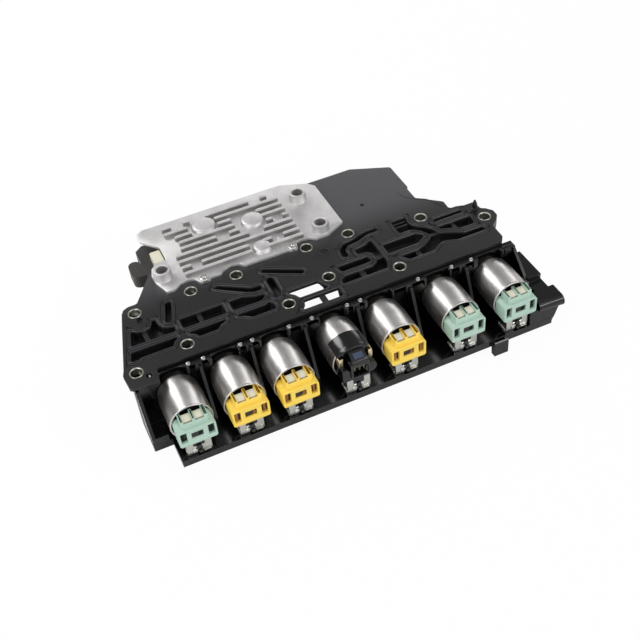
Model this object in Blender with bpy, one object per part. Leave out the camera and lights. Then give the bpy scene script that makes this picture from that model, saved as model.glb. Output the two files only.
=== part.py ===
# Transmission control module of a valve body: a moulded channel plate with its gasket face up,
# a finned control unit behind it and seven solenoids in a tray along its front edge.
#
# Lengths are millimetres and become metres where a mesh is made. X runs along the row of
# solenoids, Y from the solenoids to the heat sink, Z up. Dimensions are laid out from the front
# left corner of the gasket face, and the finished part has its origin at ORIGIN on that face.
from math import cos, pi, radians, sin, tan

import bmesh
import bpy
from mathutils import Vector
from mathutils.geometry import delaunay_2d_cdt

MM = 0.001
ORIGIN = (150.0, 60.0)    # a plain spot near the middle of the gasket face
GAP = 0.3                 # left between pieces that touch

# Channel plate
SKIN = 2.5                # flat wall of the plate and its rear deck
RIM_DEPTH = 8.0           # the wall that hangs round the rear edge, from the gasket face
RIM_START = 27.0          # Y where that wall begins
CHANNEL_DEPTH = 7.0       # gasket face to channel floor
CHANNEL_WALL = 1.6        # floor thickness under a channel
TROUGH_MARGIN = 2.6       # moulded wall round a channel, seen from below
WEB_DROP = 1.2            # cross webs lie this far under the gasket face
FRONT_EDGE = 10.6         # Y of the plate's long front edge
RECESS_DEPTH = 0.8        # seat of the gasket
GASKET_WIDTH = 2.8        # from the channel's edge outwards
GASKET_PROUD = 0.4        # above the gasket face

# Bolt bushings
BUSHING_RADIUS = 4.9
BUSHING_BORE = 3.8
BUSHING_LENGTH = 5.5
BOSS_RADIUS = 6.6

# Solenoids
AXIS_Z = -19.8            # height of every solenoid's axis
CAN_RADIUS = 14.8
CAN_WALL = 1.2
CAN_FRONT = -26.2         # Y of the open rim
CAN_BACK = 2.7
CAN_SHOULDER = 2.6
NECK_RADIUS = 13.2
NECK_LENGTH = 5.0
NOSE_RADIUS = 7.6
NOSE_LENGTH = 13.5        # behind the neck
SPOOL_RADIUS = 3.7
SPOOL_CLEARANCE = 0.35
SPOOL_STROKE = 2.0
ARMATURE_RADIUS = 5.2
COIL_BORE_END = -20.0     # Y of the blind end of the armature's bore
CONNECTOR_WIDTH = 26.0
CONNECTOR_TOP = 6.8       # over the axis
CONNECTOR_BOTTOM = -8.0
CONNECTOR_DEPTH = 11.6    # in front of the rim
LATCH_WIDTH = 17.0
LATCH_TOP = 11.2
BRACKET_SHEET = 1.2
BRACKET_WIDTH = 17.2
BRACKET_FRONT = -35.2

# Solenoid tray
TRAY_BOTTOM = -46.5
REST = -54.5              # Z of the plane that the feet and the plug tower stand on
RAIL_TOP = -40.7
RAIL_FRONT = -37.3
BAY_FLOOR = -42.5
WALL_FRONT = 5.0
WALL_SEAT = 8.3           # Y of the face that the solenoids' necks stand on
WALL_BACK = 11.7
MANIFOLD_BACK = 24.0
GUSSET_SHEET = 2.2
LEFT_END = 1.0
RAIL_LEFT = 14.0
RIGHT_END = 294.0
WALL_RIGHT = 287.0
FEET = [33.0, 259.0]      # X of the two feet

# Control unit
SINK_TOP = 2.5            # upper face of the heat sink's base plate
VALLEY_HEIGHT = 0.4       # from the base plate to the floor between the fins
FIN_HEIGHT = 3.1
FIN_WIDTH = 2.6
FIN_PITCH = 6.99
SINK_BOSS_RADIUS = 7.1
SINK_BOSS_HOLE = 4.1
SINK_BOSS_HEIGHT = 7.0
SCREW_RADIUS = 1.5
SCREW_SEAT = 0.9          # the heat sink's thickness under the screws' heads
HOUSING_WALL = 2.0
HOUSING_DEPTH = 13.0      # gasket face to the rear cover
COVER_SHEET = 2.0
BOARD_SHEET = 1.6
PAD_SHEET = 1.0
TOWER = (52.0, 124.0)
TOWER_RADIUS = 13.0
SOCKET_FLOOR = -44.0
CONNECTOR_DECK = -5.0

BUSHINGS = [(21.6, 68.0), (6.4, 13.0), (44.7, 22.2), (63.7, 70.8), (98.1, 71.1), (119.7, 25.3),
            (153.9, 73.9), (155.2, 37.4), (187.2, 73.6), (203.5, 22.6), (242.1, 63.8), (283.4, 41.7)]
SOLENOIDS = [28.1, 64.8, 100.0, 142.6, 179.0, 225.0, 266.0]
SOLENOID_KINDS = ["green", "yellow", "yellow", "black", "yellow", "green", "green"]

# Channels of the gasket face, each an outline of (X, Y) corners
CHAMBERS = {
    "front_left": [(5.9, 23.6), (8.3, 32.3), (40.8, 32.3), (40.4, 30.0), (37.5, 28.0), (35.8, 24.6),
                   (13.7, 24.6), (11.6, 23.4)],
    "rear_left": [(10.0, 37.4), (14.0, 52.6), (17.0, 49.4), (22.3, 47.8), (26.9, 49.2), (29.0, 52.5),
                  (30.0, 55.5), (32.2, 55.5), (32.8, 49.5), (34.8, 45.4), (38.5, 43.6), (42.2, 42.4),
                  (42.2, 37.4)],
    "rear_second": [(47.3, 37.4), (47.3, 47.4), (78.6, 47.4), (78.6, 37.4)],
    "front_second": [(49.0, 32.3), (76.0, 32.3), (75.0, 30.0), (70.5, 28.2), (67.3, 25.1), (54.6, 25.1),
                     (53.2, 28.0), (50.0, 30.2)],
    "rear_third": [(83.7, 37.4), (83.7, 47.4), (93.5, 47.4), (102.0, 43.6), (108.6, 42.9), (108.4, 41.2),
                   (104.6, 37.4)],
    "front_third": [(84.3, 32.3), (104.6, 32.3), (108.3, 34.0), (110.1, 32.0), (111.0, 29.0),
                    (109.9, 25.1), (93.0, 25.1), (88.5, 28.7), (84.0, 30.5)],
    "slope": [(78.8, 64.5), (79.8, 66.6), (82.8, 66.6), (102.5, 53.2), (109.4, 52.8), (109.4, 48.0),
              (103.0, 48.0), (97.3, 50.8)],
    "stem": [(114.8, 54.5), (116.4, 57.2), (118.8, 57.2), (120.1, 54.5), (120.0, 40.5), (117.6, 35.2),
             (114.8, 34.6), (112.7, 36.0), (114.7, 41.0)],
    "middle": [(165.8, 37.1), (163.9, 43.5), (188.2, 43.5), (189.2, 40.5), (187.8, 37.1)],
    "corner": [(161.0, 25.3), (162.3, 30.2), (165.8, 32.2), (187.0, 32.2), (191.3, 34.6), (193.2, 38.0),
               (193.0, 44.5), (190.4, 47.4), (183.4, 49.0), (183.4, 54.3), (188.0, 54.8), (194.0, 56.4),
               (198.4, 59.0), (198.6, 32.0), (195.2, 25.3)],
    "arrow": [(203.3, 38.8), (203.3, 49.3), (230.0, 49.3), (234.3, 45.4), (233.5, 43.4), (226.5, 38.8)],
    "ladder": [(220.1, 54.7), (220.1, 69.6), (232.4, 69.6), (231.3, 64.5), (232.0, 59.6), (235.3, 55.2),
               (240.3, 51.3), (242.9, 48.0), (245.6, 41.2), (256.0, 36.2), (261.5, 32.8), (275.5, 32.8),
               (277.6, 30.2), (276.6, 28.3), (253.8, 28.3), (248.8, 30.3), (243.7, 31.6), (239.0, 30.4),
               (232.6, 26.0), (213.2, 26.0), (211.0, 29.4), (208.7, 32.3), (223.5, 32.3), (230.0, 34.6),
               (237.6, 39.6), (238.6, 43.0), (235.2, 49.4), (230.5, 53.4), (228.0, 54.7)],
    "rear_right": [(246.9, 54.0), (249.4, 57.3), (272.0, 57.3), (272.0, 54.0)],
    "right": [(247.8, 45.0), (248.3, 47.8), (274.4, 47.8), (273.8, 38.6), (262.3, 38.6), (256.5, 41.6)],
}
# Windows go right through the plate
WINDOWS = {
    "rear_window": [(123.8, 37.0), (146.2, 37.0), (150.6, 28.4), (150.0, 27.2), (129.0, 27.2),
                    (127.2, 31.0), (123.4, 35.0)],
    "front_window": [(125.4, 15.0), (129.6, 20.6), (130.2, 23.6), (156.8, 23.6), (156.8, 15.0)],
}
WINDOW_WEB = [(141.3, 14.0), (145.4, 14.0), (145.4, 24.6), (141.3, 24.6)]
# Slots follow a centre line: points and half width
SLOTS = {
    "leaning_slot": ([(45.3, 66.2), (40.4, 49.6)], 2.2),
    "diagonal_slot": ([(117.0, 65.2), (140.3, 51.7)], 2.2),
    "winding_slot": ([(175.0, 52.0), (175.7, 58.6), (180.0, 62.5), (188.0, 63.5), (195.0, 66.3),
                      (200.0, 67.4), (206.4, 67.4)], 2.1),
}
WEBS = [((20.7, 36.4), (23.8, 48.6)), ((59.3, 36.4), (62.6, 48.4)), ((176.2, 24.3), (180.2, 33.2)),
        ((191.0, 37.8), (199.6, 41.2)), ((220.9, 25.0), (224.3, 33.3)), ((219.0, 62.2), (231.0, 63.4)),
        ((219.0, 66.0), (231.0, 67.2)), ((258.0, 37.6), (260.6, 48.8)), ((237.2, 41.6), (245.8, 44.4))]

PLATE_OUTLINE = [(-1.4, 0.2), (16.4, 0.2), (18.8, 2.6), (19.4, FRONT_EDGE), (279.2, FRONT_EDGE),
                 (282.8, 15.6), (283.2, 29.6), (288.6, 34.0), (292.2, 38.6), (292.4, 44.6), (288.8, 49.4),
                 (285.6, 51.6), (285.4, 60.4), (277.0, 60.4), (271.0, 62.3), (265.4, 62.5), (265.9, 72.0),
                 (249.6, 86.4), (249.6, 100.8), (251.0, 100.8), (251.0, 131.0), (222.0, 144.3),
                 (185.0, 144.3), (160.0, 146.0), (60.0, 146.0), (60.0, 103.6), (44.5, 103.0), (42.2, 101.6),
                 (25.8, 76.6), (19.0, 76.4), (15.2, 74.6), (13.2, 71.0), (8.8, 54.8), (-0.6, 18.9),
                 (-2.4, 13.9)]

SINK_OUTLINE = [(48.0, 75.0), (53.6, 75.0), (56.6, 76.8), (60.0, 79.4), (64.6, 80.3), (69.4, 79.0),
                (72.6, 73.0), (79.8, 73.0), (81.0, 75.0), (88.8, 75.0), (91.6, 78.0), (97.8, 80.3),
                (103.6, 78.6), (106.8, 75.0), (140.4, 75.0), (141.2, 73.8), (147.6, 73.8), (149.2, 80.4),
                (153.0, 81.4), (159.4, 80.4), (163.2, 77.0), (174.0, 77.4), (180.0, 80.6), (188.6, 84.6),
                (188.6, 136.0), (184.0, 141.6), (164.0, 150.2), (52.0, 150.4), (47.2, 147.0), (46.9, 138.0),
                (58.0, 124.6), (58.0, 109.0), (50.0, 108.6), (45.6, 104.0), (43.4, 97.0), (43.8, 88.0)]
SINK_BOSSES = [(50.7, 91.7), (170.1, 126.4), (170.7, 85.1)]
SINK_SCREWS = [(76.2, 76.0), (144.6, 77.0)]
# Each row of fins from the front one back: the runs of X that it covers
FIN_ROWS = [[(65.1, 116.5), (127.3, 156.0)], [(65.1, 72.0), (79.9, 116.5), (127.3, 134.3), (143.2, 156.0)],
            [(65.1, 156.0)], [(65.1, 121.4), (133.3, 156.0)],
            [(71.0, 98.7), (108.6, 116.5), (138.2, 143.2), (151.1, 156.0)],
            [(72.0, 115.5), (137.2, 156.0)], [(71.0, 83.9), (104.6, 115.5), (135.2, 156.0)],
            [(65.1, 82.9), (104.6, 156.0)], [(65.1, 72.0), (81.9, 86.8), (99.7, 134.3), (144.1, 149.1)]]
FIN_START = (65.1, 82.0)
FIN_BLOCK = [(63.4, 85.0), (69.0, 81.0), (144.0, 81.0), (149.0, 81.6), (157.8, 82.0), (157.8, 144.4), (63.4, 144.4)]


# Plane outlines

def turn(a, b, c):
    """Twice the signed area of the triangle a, b, c."""
    return (b[0] - a[0]) * (c[1] - a[1]) - (b[1] - a[1]) * (c[0] - a[0])


def area(outline):
    """Signed area of a closed outline, positive when it runs anticlockwise."""
    return sum(turn((0, 0), a, b) for a, b in zip(outline, outline[1:] + outline[:1])) / 2


def anticlockwise(outline):
    return outline if area(outline) > 0 else outline[::-1]


def grown(outline, distance):
    """Moves every side of an outline outwards, with mitred corners."""
    outline = anticlockwise(outline)
    result = []
    for k, point in enumerate(outline):
        before = Vector(point) - Vector(outline[k - 1])
        after = Vector(outline[(k + 1) % len(outline)]) - Vector(point)
        n1 = Vector((before.y, -before.x)).normalized()
        n2 = Vector((after.y, -after.x)).normalized()
        mitre = (n1 + n2) / max(1 + n1.dot(n2), 0.35)
        result.append(tuple(Vector(point) + mitre * distance))
    return result


def rounded(outline, radius, steps=2):
    """Replaces each corner by an arc of the given radius, limited by its two sides."""
    result = []
    count = len(outline)
    for k in range(count):
        corner = Vector(outline[k])
        back = Vector(outline[k - 1]) - corner
        ahead = Vector(outline[(k + 1) % count]) - corner
        angle = back.angle(ahead)
        if angle > radians(172):
            result.append(tuple(corner))
            continue
        reach = min(radius / tan(angle / 2), back.length * 0.45, ahead.length * 0.45)
        start = corner + back.normalized() * reach
        end = corner + ahead.normalized() * reach
        for step in range(steps + 1):
            t = step / steps
            result.append(tuple(start * (1 - t) ** 2 + corner * 2 * t * (1 - t) + end * t ** 2))
    return result


def stroke(path, half_width, cap_steps=4):
    """The outline of a slot of constant width along a centre line, with round ends."""
    points = [Vector(p) for p in path]
    sides = []
    for k, point in enumerate(points):
        before = (point - points[k - 1]).normalized() if k else None
        after = (points[k + 1] - point).normalized() if k + 1 < len(points) else None
        along = ((before or after) + (after or before)).normalized()
        sides.append((along, Vector((-along.y, along.x))))
    left = [p + s[1] * half_width for p, s in zip(points, sides)]
    right = [p - s[1] * half_width for p, s in zip(points, sides)]

    def cap(centre, along, normal):
        angles = [pi * (k + 1) / (cap_steps + 1) for k in range(cap_steps)]
        return [centre + normal * half_width * cos(a) + along * half_width * sin(a) for a in angles]
    loop = left + cap(points[-1], sides[-1][0], sides[-1][1])
    loop += right[::-1] + cap(points[0], -sides[0][0], -sides[0][1])
    return anticlockwise([tuple(p) for p in loop])


def circle(centre, radius, count=16):
    return [(centre[0] + radius * cos(2 * pi * k / count), centre[1] + radius * sin(2 * pi * k / count))
            for k in range(count)]


def box_outline(x0, y0, x1, y1):
    return [(x0, y0), (x1, y0), (x1, y1), (x0, y1)]


# Meshes and objects

def clear_scene():
    for obj in list(bpy.data.objects):
        bpy.data.objects.remove(obj, do_unlink=True)


def make_material(name, colour, roughness, metallic=0.0):
    """A Principled material with a plain colour."""
    material = bpy.data.materials.new(name)
    material.use_nodes = True
    shader = material.node_tree.nodes["Principled BSDF"]
    shader.inputs["Base Color"].default_value = (*colour, 1.0)
    shader.inputs["Roughness"].default_value = roughness
    shader.inputs["Metallic"].default_value = metallic
    material.diffuse_color = (*colour, 1.0)
    return material


def add_object(name, verts, faces, material, smooth=False):
    """Makes a mesh object from points in millimetres."""
    mesh = bpy.data.meshes.new(name)
    mesh.from_pydata([((x - ORIGIN[0]) * MM, (y - ORIGIN[1]) * MM, z * MM) for x, y, z in verts], [], faces)
    mesh.validate()
    obj = bpy.data.objects.new(name, mesh)
    bpy.context.scene.collection.objects.link(obj)
    if material:
        mesh.materials.append(material)
    if smooth:
        mesh.shade_smooth()
        mesh.set_sharp_from_angle(angle=radians(35))
    return obj


def tidy(obj):
    """Merges flat neighbours so that no face is cut up more than its outline needs."""
    work = bmesh.new()
    work.from_mesh(obj.data)
    bmesh.ops.dissolve_limit(work, angle_limit=radians(0.2), verts=work.verts, edges=work.edges)
    work.to_mesh(obj.data)
    work.free()
    return obj


def terraces(name, loops, levels, material):
    """A solid whose top and bottom step between level regions.

    loops maps a name to an outline. levels takes the set of names whose outlines hold a
    point and returns its (bottom, top), or None where there is no material. The plane is
    triangulated once with every outline as an edge, and walls rise where levels differ.
    """
    points, edges, rings, names = [], [], [], []
    for key, outline in loops.items():
        start = len(points)
        ring = anticlockwise(list(outline))
        points += [Vector(p) for p in ring]
        rings.append(list(range(start, start + len(ring))))
        names.append(key)
    flat, _, cells, _, _, owners = delaunay_2d_cdt(points, edges, rings, 1, 1e-5)
    spans = []
    for owner in owners:
        spans.append(levels({names[k] for k in owner}))
    heights = {}
    for cell, span in zip(cells, spans):
        if span:
            for corner in cell:
                heights.setdefault(corner, set()).update(span)
    verts, index = [], {}

    def vertex(corner, z):
        key = (corner, round(z, 6))
        if key not in index:
            index[key] = len(verts)
            verts.append((flat[corner].x, flat[corner].y, z))
        return index[key]
    beside = {}
    for number, cell in enumerate(cells):
        for a, b in zip(cell, cell[1:] + cell[:1]):
            beside[(a, b)] = number
    faces = []
    for number, cell in enumerate(cells):
        span = spans[number]
        if not span:
            continue
        bottom, top = span
        faces.append([vertex(c, top) for c in cell])
        faces.append([vertex(c, bottom) for c in reversed(cell)])
        for a, b in zip(cell, cell[1:] + cell[:1]):
            other = beside.get((b, a))
            other_span = spans[other] if other is not None else None
            for low, high in bare_spans(span, other_span):
                rise = [z for z in sorted(heights[b]) if low - 1e-6 <= z <= high + 1e-6]
                fall = [z for z in sorted(heights[a], reverse=True) if low - 1e-6 <= z <= high + 1e-6]
                faces.append([vertex(b, z) for z in rise] + [vertex(a, z) for z in fall])
    return tidy(add_object(name, verts, faces, material))


def bare_spans(span, other):
    """The stretches of height where this cell is solid and its neighbour isn't."""
    if other is None:
        return [span]
    bottom, top = span
    found = []
    if other[1] < top - 1e-6:
        found.append((max(other[1], bottom), top))
    if other[0] > bottom + 1e-6:
        found.append((bottom, min(other[0], top)))
    return found


def prism(name, outline, start, end, axis="z", material=None):
    """An outline drawn across one axis and stretched along it."""
    outline = anticlockwise(list(outline))
    count = len(outline)
    place = {"z": lambda p, h: (p[0], p[1], h),
             "x": lambda p, h: (h, p[0], p[1]),
             "y": lambda p, h: (p[1], h, p[0])}[axis]
    verts = [place(p, start) for p in outline] + [place(p, end) for p in outline]
    faces = [list(range(count))[::-1], list(range(count, 2 * count))]
    faces += [[k, (k + 1) % count, (k + 1) % count + count, k + count] for k in range(count)]
    return add_object(name, verts, faces, material)


def flared(name, near, far, start, end):
    """Joins one (Y, Z) outline to another with as many corners, along X."""
    count = len(near)
    verts = [(start, y, z) for y, z in near] + [(end, y, z) for y, z in far]
    faces = [list(range(count))[::-1], list(range(count, 2 * count))]
    faces += [[k, (k + 1) % count, (k + 1) % count + count, k + count] for k in range(count)]
    return add_object(name, verts, faces, None)


def turned(name, profile, centre, material, count=20):
    """Turns a closed profile of (radius, Y) points about an axis along Y.

    Points on the axis share one vertex, so a solid bar closes at its ends. The profile
    runs so that its outer side goes towards +Y.
    """
    rings = []
    verts = []
    for radius, y in profile:
        if radius < 1e-6:
            rings.append([len(verts)] * count)
            verts.append((centre[0], y, centre[1]))
            continue
        rings.append(list(range(len(verts), len(verts) + count)))
        for k in range(count):
            angle = 2 * pi * k / count
            verts.append((centre[0] + radius * cos(angle), y, centre[1] + radius * sin(angle)))
    faces = []
    closed = zip(range(len(rings)), list(range(1, len(rings))) + [0])
    for i, j in closed:
        for k in range(count):
            n = (k + 1) % count
            corners = [rings[i][k], rings[j][k], rings[j][n], rings[i][n]]
            face = [c for m, c in enumerate(corners) if c not in corners[:m]]
            if len(face) > 2:
                faces.append(face)
    return add_object(name, verts, faces, material, smooth=True)


def combine(obj, tools, operation):
    """Applies Booleans one after another and removes the tools."""
    for tool in tools:
        cut = obj.modifiers.new("shape", "BOOLEAN")
        cut.operation = operation
        cut.solver = "EXACT"
        cut.object = tool
        view = bpy.context.evaluated_depsgraph_get()
        mesh = bpy.data.meshes.new_from_object(obj.evaluated_get(view))
        obj.modifiers.clear()
        old = obj.data
        obj.data = mesh
        mesh.name = obj.name
        bpy.data.meshes.remove(old)
        bpy.data.objects.remove(tool, do_unlink=True)
    return obj


def cut(obj, *tools):
    return combine(obj, tools, "DIFFERENCE")


def join(obj, *tools):
    return combine(obj, tools, "UNION")


def slab(name, low, high, material=None):
    """A rectangular block between two corners."""
    return prism(name, box_outline(low[0], low[1], high[0], high[1]), low[2], high[2], "z", material)


def set_origin(obj, point):
    """Puts an object's origin at a point, with the mesh left where it is."""
    place = Vector((point[0] - ORIGIN[0], point[1] - ORIGIN[1], point[2])) * MM
    for vert in obj.data.vertices:
        vert.co -= place
    obj.location = place


# Channel plate and gasket

def channel_outline(name, grow=0.0):
    """The rim of one channel, or the line a distance outside it."""
    if name in SLOTS:
        path, half_width = SLOTS[name]
        return stroke(path, half_width + grow)
    corners = CHAMBERS.get(name) or WINDOWS[name]
    return grown(corners, grow) if grow else rounded(corners, 1.0, 1)


def channel_names():
    return list(CHAMBERS) + list(WINDOWS) + list(SLOTS)


def housing_outline(shrink=0.0):
    """The wall round the control board, under the heat sink."""
    return grown(box_outline(62.0, 84.0, 164.0, 140.0), -shrink)


def build_channel_plate(material):
    loops = {"outline": rounded(PLATE_OUTLINE, 1.6, 1)}
    for name in channel_names():
        loops["channel " + name] = channel_outline(name)
        loops["recess " + name] = channel_outline(name, GASKET_WIDTH + GAP)
        if name not in WINDOWS:
            loops["trough " + name] = channel_outline(name, TROUGH_MARGIN + GASKET_WIDTH / 2)
    for k, (low, high) in enumerate(WEBS):
        loops[f"web {k}"] = box_outline(*low, *high)
    loops["window web"] = WINDOW_WEB
    for k, centre in enumerate(BUSHINGS):
        loops[f"bore {k}"] = circle(centre, BUSHING_RADIUS + GAP, 10)
        loops[f"boss {k}"] = circle(centre, BOSS_RADIUS + GAP, 10)
    for k, centre in enumerate(SINK_SCREWS):
        loops[f"screw {k}"] = circle(centre, SCREW_RADIUS + GAP, 6)
    loops["pin hole"] = box_outline(11.4, 5.0, 15.0, 8.6)
    loops["small hole"] = circle((211.0, 98.6), 1.4, 8)
    loops["rest pocket"] = stroke([(22.8, 60.4), (22.4, 56.6)], 2.0, 3)
    loops["gate mark"] = circle((163.7, 63.1), 3.4, 8)
    loops["opening"] = housing_outline(HOUSING_WALL + 6.0)
    loops["housing"] = housing_outline()
    loops["cavity"] = housing_outline(HOUSING_WALL)
    loops["inside"] = grown(PLATE_OUTLINE, -HOUSING_WALL)
    loops["rear"] = box_outline(-20.0, RIM_START, 320.0, 160.0)

    def levels(inside):
        kinds = {name.split(" ")[0] for name in inside}
        if "outline" not in kinds or kinds & {"bore", "pin", "small", "opening", "screw"}:
            return None
        windowed = any(name == "channel " + window for name in inside for window in WINDOWS)
        if windowed and "window" not in kinds:
            return None
        bottom = -SKIN
        if "boss" in kinds:
            bottom = -BUSHING_LENGTH
        if "rear" in kinds and "inside" not in kinds:
            bottom = -RIM_DEPTH
        if "trough" in kinds and not windowed:
            bottom = -CHANNEL_DEPTH - CHANNEL_WALL
        if "housing" in kinds and "cavity" not in kinds:
            bottom = -HOUSING_DEPTH
        top = 0.0
        if "recess" in kinds:
            top = -RECESS_DEPTH
        if "gate" in kinds:
            top = -0.6
        if windowed:
            top = -RECESS_DEPTH
        elif "channel" in kinds:
            top = -WEB_DROP if "web" in kinds else -CHANNEL_DEPTH
        if "rest" in kinds:
            top = -SKIN + 0.8
            bottom = -SKIN - 1.0
        return bottom, top
    return terraces("channel_plate", loops, levels, material)


def build_gasket(material):
    loops = {}
    for name in channel_names():
        loops["inner " + name] = channel_outline(name, GAP)
        loops["outer " + name] = channel_outline(name, GASKET_WIDTH)
    for k, centre in enumerate(BUSHINGS):
        loops[f"bore {k}"] = circle(centre, BUSHING_RADIUS + 2 * GAP, 10)

    def levels(inside):
        kinds = {name.split(" ")[0] for name in inside}
        if "inner" in kinds or "bore" in kinds or "outer" not in kinds:
            return None
        return -RECESS_DEPTH + GAP, GASKET_PROUD
    return terraces("channel_gasket", loops, levels, material)


def build_bushing(number, centre, material):
    """A steel compression limiter that takes one of the module's bolts."""
    loops = {"body": circle(centre, BUSHING_RADIUS, 10), "bore": circle(centre, BUSHING_BORE, 10)}

    def levels(inside):
        return None if "bore" in inside else (-BUSHING_LENGTH, GASKET_PROUD / 2)
    return terraces(f"bolt_bushing_{number:02d}", loops, levels, material)


# Solenoid tray

def gusset_places():
    """X of the partition between each two solenoids."""
    return [(a + b) / 2 for a, b in zip(SOLENOIDS, SOLENOIDS[1:])]


def build_tray(material):
    top = -SKIN - GAP
    below_trough = -CHANNEL_DEPTH - CHANNEL_WALL - GAP
    ledge = -14.0
    section = [(WALL_FRONT, top), (WALL_FRONT, BAY_FLOOR), (ledge, BAY_FLOOR), (ledge, RAIL_TOP),
               (RAIL_FRONT, RAIL_TOP), (RAIL_FRONT, TRAY_BOTTOM), (WALL_BACK, TRAY_BOTTOM),
               (WALL_BACK, top)]
    tray = prism("solenoid_tray", section, LEFT_END, RIGHT_END, "x", material)
    chamfer = 6.0
    manifold = [(WALL_BACK - 1, below_trough), (MANIFOLD_BACK - chamfer, below_trough),
                (MANIFOLD_BACK, below_trough - chamfer / 1.5), (MANIFOLD_BACK, AXIS_Z - NOSE_RADIUS - 4.0),
                (WALL_BACK - 1, AXIS_Z - NOSE_RADIUS - 10.0)]
    parts = [prism("manifold", manifold, LEFT_END + 6, RIGHT_END - 14, "x")]
    for x in gusset_places():
        gusset = [(WALL_FRONT + 1, top - 1.2), (WALL_FRONT - 3, top - 1.2), (ledge, RAIL_TOP + 1),
                  (ledge, TRAY_BOTTOM + 1), (WALL_FRONT + 1, TRAY_BOTTOM + 1)]
        parts.append(prism("gusset", gusset, x - GUSSET_SHEET / 2, x + GUSSET_SHEET / 2, "x"))
    left = [(WALL_FRONT + 1, top - 2.5), (WALL_FRONT - 4, top - 2.5), (-16.0, -35.0),
            (-16.0, TRAY_BOTTOM + 0.5), (WALL_FRONT + 1, TRAY_BOTTOM + 0.5)]
    parts.append(prism("left wall", left, LEFT_END + 0.2, LEFT_END + 2.6, "x"))
    foot = [(-15.9, -35.0), (-15.9, TRAY_BOTTOM + 0.7), (-13.0, TRAY_BOTTOM + 0.7), (-13.0, -35.0)]
    parts.append(prism("left foot", foot, LEFT_END + 0.4, LEFT_END + 11.6, "x"))
    right = [(WALL_FRONT + 1, top - 1.1), (WALL_FRONT, top - 1.1), (-15.5, -23.0), (-16.5, TRAY_BOTTOM + 1),
             (WALL_FRONT + 1, TRAY_BOTTOM + 1)]
    parts.append(prism("right wall", right, 284.9, WALL_RIGHT, "x"))
    for low, high in (((286.4, -14.4, TRAY_BOTTOM + 2), (297.0, 13.6, -18.6)),
                      ((286.2, -25.0, TRAY_BOTTOM + 3), (297.2, -14.0, -23.2)),
                      ((274.9, RAIL_FRONT, TRAY_BOTTOM + 1), (282.6, -30.0, -28.6))):
        parts.append(slab("end block", low, high))
    near = [(-24.6, -22.6), (-24.6, -42.5), (-36.9, -42.5), (-36.9, -27.6), (-37.5, -26.6), (-37.6, -25.0),
            (-36.9, -23.4), (-34.6, -22.6)]
    far = [(-24.6, -22.6), (-24.6, -42.5), (-37.2, -42.5), (-37.2, -30.6), (-39.0, -29.4), (-39.8, -26.8),
           (-38.6, -24.0), (-35.0, -22.6)]
    parts.append(flared("end nose", near, far, 281.8, 300.4))
    hook = [(RAIL_FRONT + 1, -46.0), (RAIL_FRONT + 1, -41.0), (-40.2, -41.0), (-41.0, -41.8), (-41.0, -53.8),
            (-36.8, -53.8)]
    parts.append(prism("hook", hook, 244.6, 255.6, "x"))
    for x in FEET:
        parts.append(slab("foot", (x - 13, -6.0, REST), (x + 13, WALL_BACK - 0.7, TRAY_BOTTOM + 1)))
    join(tray, *parts)
    cuts = [slab("rail end", (LEFT_END - 5, RAIL_FRONT - 5, TRAY_BOTTOM - 5), (RAIL_LEFT, -16.0, -30.0)),
            slab("wall end", (WALL_RIGHT, WALL_FRONT - 1, -18.6), (RIGHT_END + 1, WALL_BACK + 1, 5.0))]
    corner = [(293.4, -52.5), (293.4, -43.5), (295.2, -40.4), (298.4, -31.2), (300.6, -30.5), (303.0, -30.5),
              (303.0, -52.5)]
    cuts.append(prism("end taper", [(z, x) for x, z in corner], -60.0, -16.5, "y"))
    deep = TRAY_BOTTOM - 5
    for centre in BUSHINGS:
        if centre[1] < MANIFOLD_BACK + BUSHING_RADIUS:
            passage = circle(centre, BUSHING_RADIUS + 0.8, 12)
            cuts.append(prism("bolt passage", passage, deep, 5.0, "z"))
        if centre[1] < WALL_BACK + BOSS_RADIUS:
            seat = circle(centre, BOSS_RADIUS + 3 * GAP, 12)
            cuts.append(prism("boss seat", seat, -BUSHING_LENGTH - GAP, 5.0, "z"))
    for x in SOLENOIDS:
        centre = (x, AXIS_Z)
        seat = [(0.0, WALL_FRONT - 4), (0.0, WALL_SEAT), (NECK_RADIUS + 2 * GAP, WALL_SEAT),
                (NECK_RADIUS + 2 * GAP, WALL_FRONT - 4)]
        cuts.append(turned("seat", seat[::-1], centre, None, 20))
        bore = [(0.0, 0.0), (0.0, MANIFOLD_BACK + 5), (NOSE_RADIUS + GAP, MANIFOLD_BACK + 5),
                (NOSE_RADIUS + GAP, 0.0)]
        cuts.append(turned("bore", bore[::-1], centre, None, 16))
        cuts.append(slab("notch", (x - 9.4, WALL_FRONT - 2, AXIS_Z), (x + 9.4, WALL_SEAT, 5.0)))
    cut(tray, *cuts)
    return tidy(tray)


# Solenoids

def build_can(number, x, material):
    """A drawn steel can, open in front, with a round shoulder at its back."""
    inner = CAN_RADIUS - CAN_WALL
    mouth = NECK_RADIUS - 3.0
    arc = [(CAN_RADIUS - CAN_SHOULDER * (1 - cos(a)), CAN_BACK - CAN_SHOULDER * (1 - sin(a)))
           for a in (0, radians(45), radians(90))]
    profile = [(inner, CAN_FRONT), (CAN_RADIUS, CAN_FRONT)] + arc
    profile += [(mouth, CAN_BACK), (mouth, CAN_BACK - CAN_WALL), (inner, CAN_BACK - CAN_WALL)]
    return turned(f"solenoid_{number}_can", profile, (x, AXIS_Z), material, 16)


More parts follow.
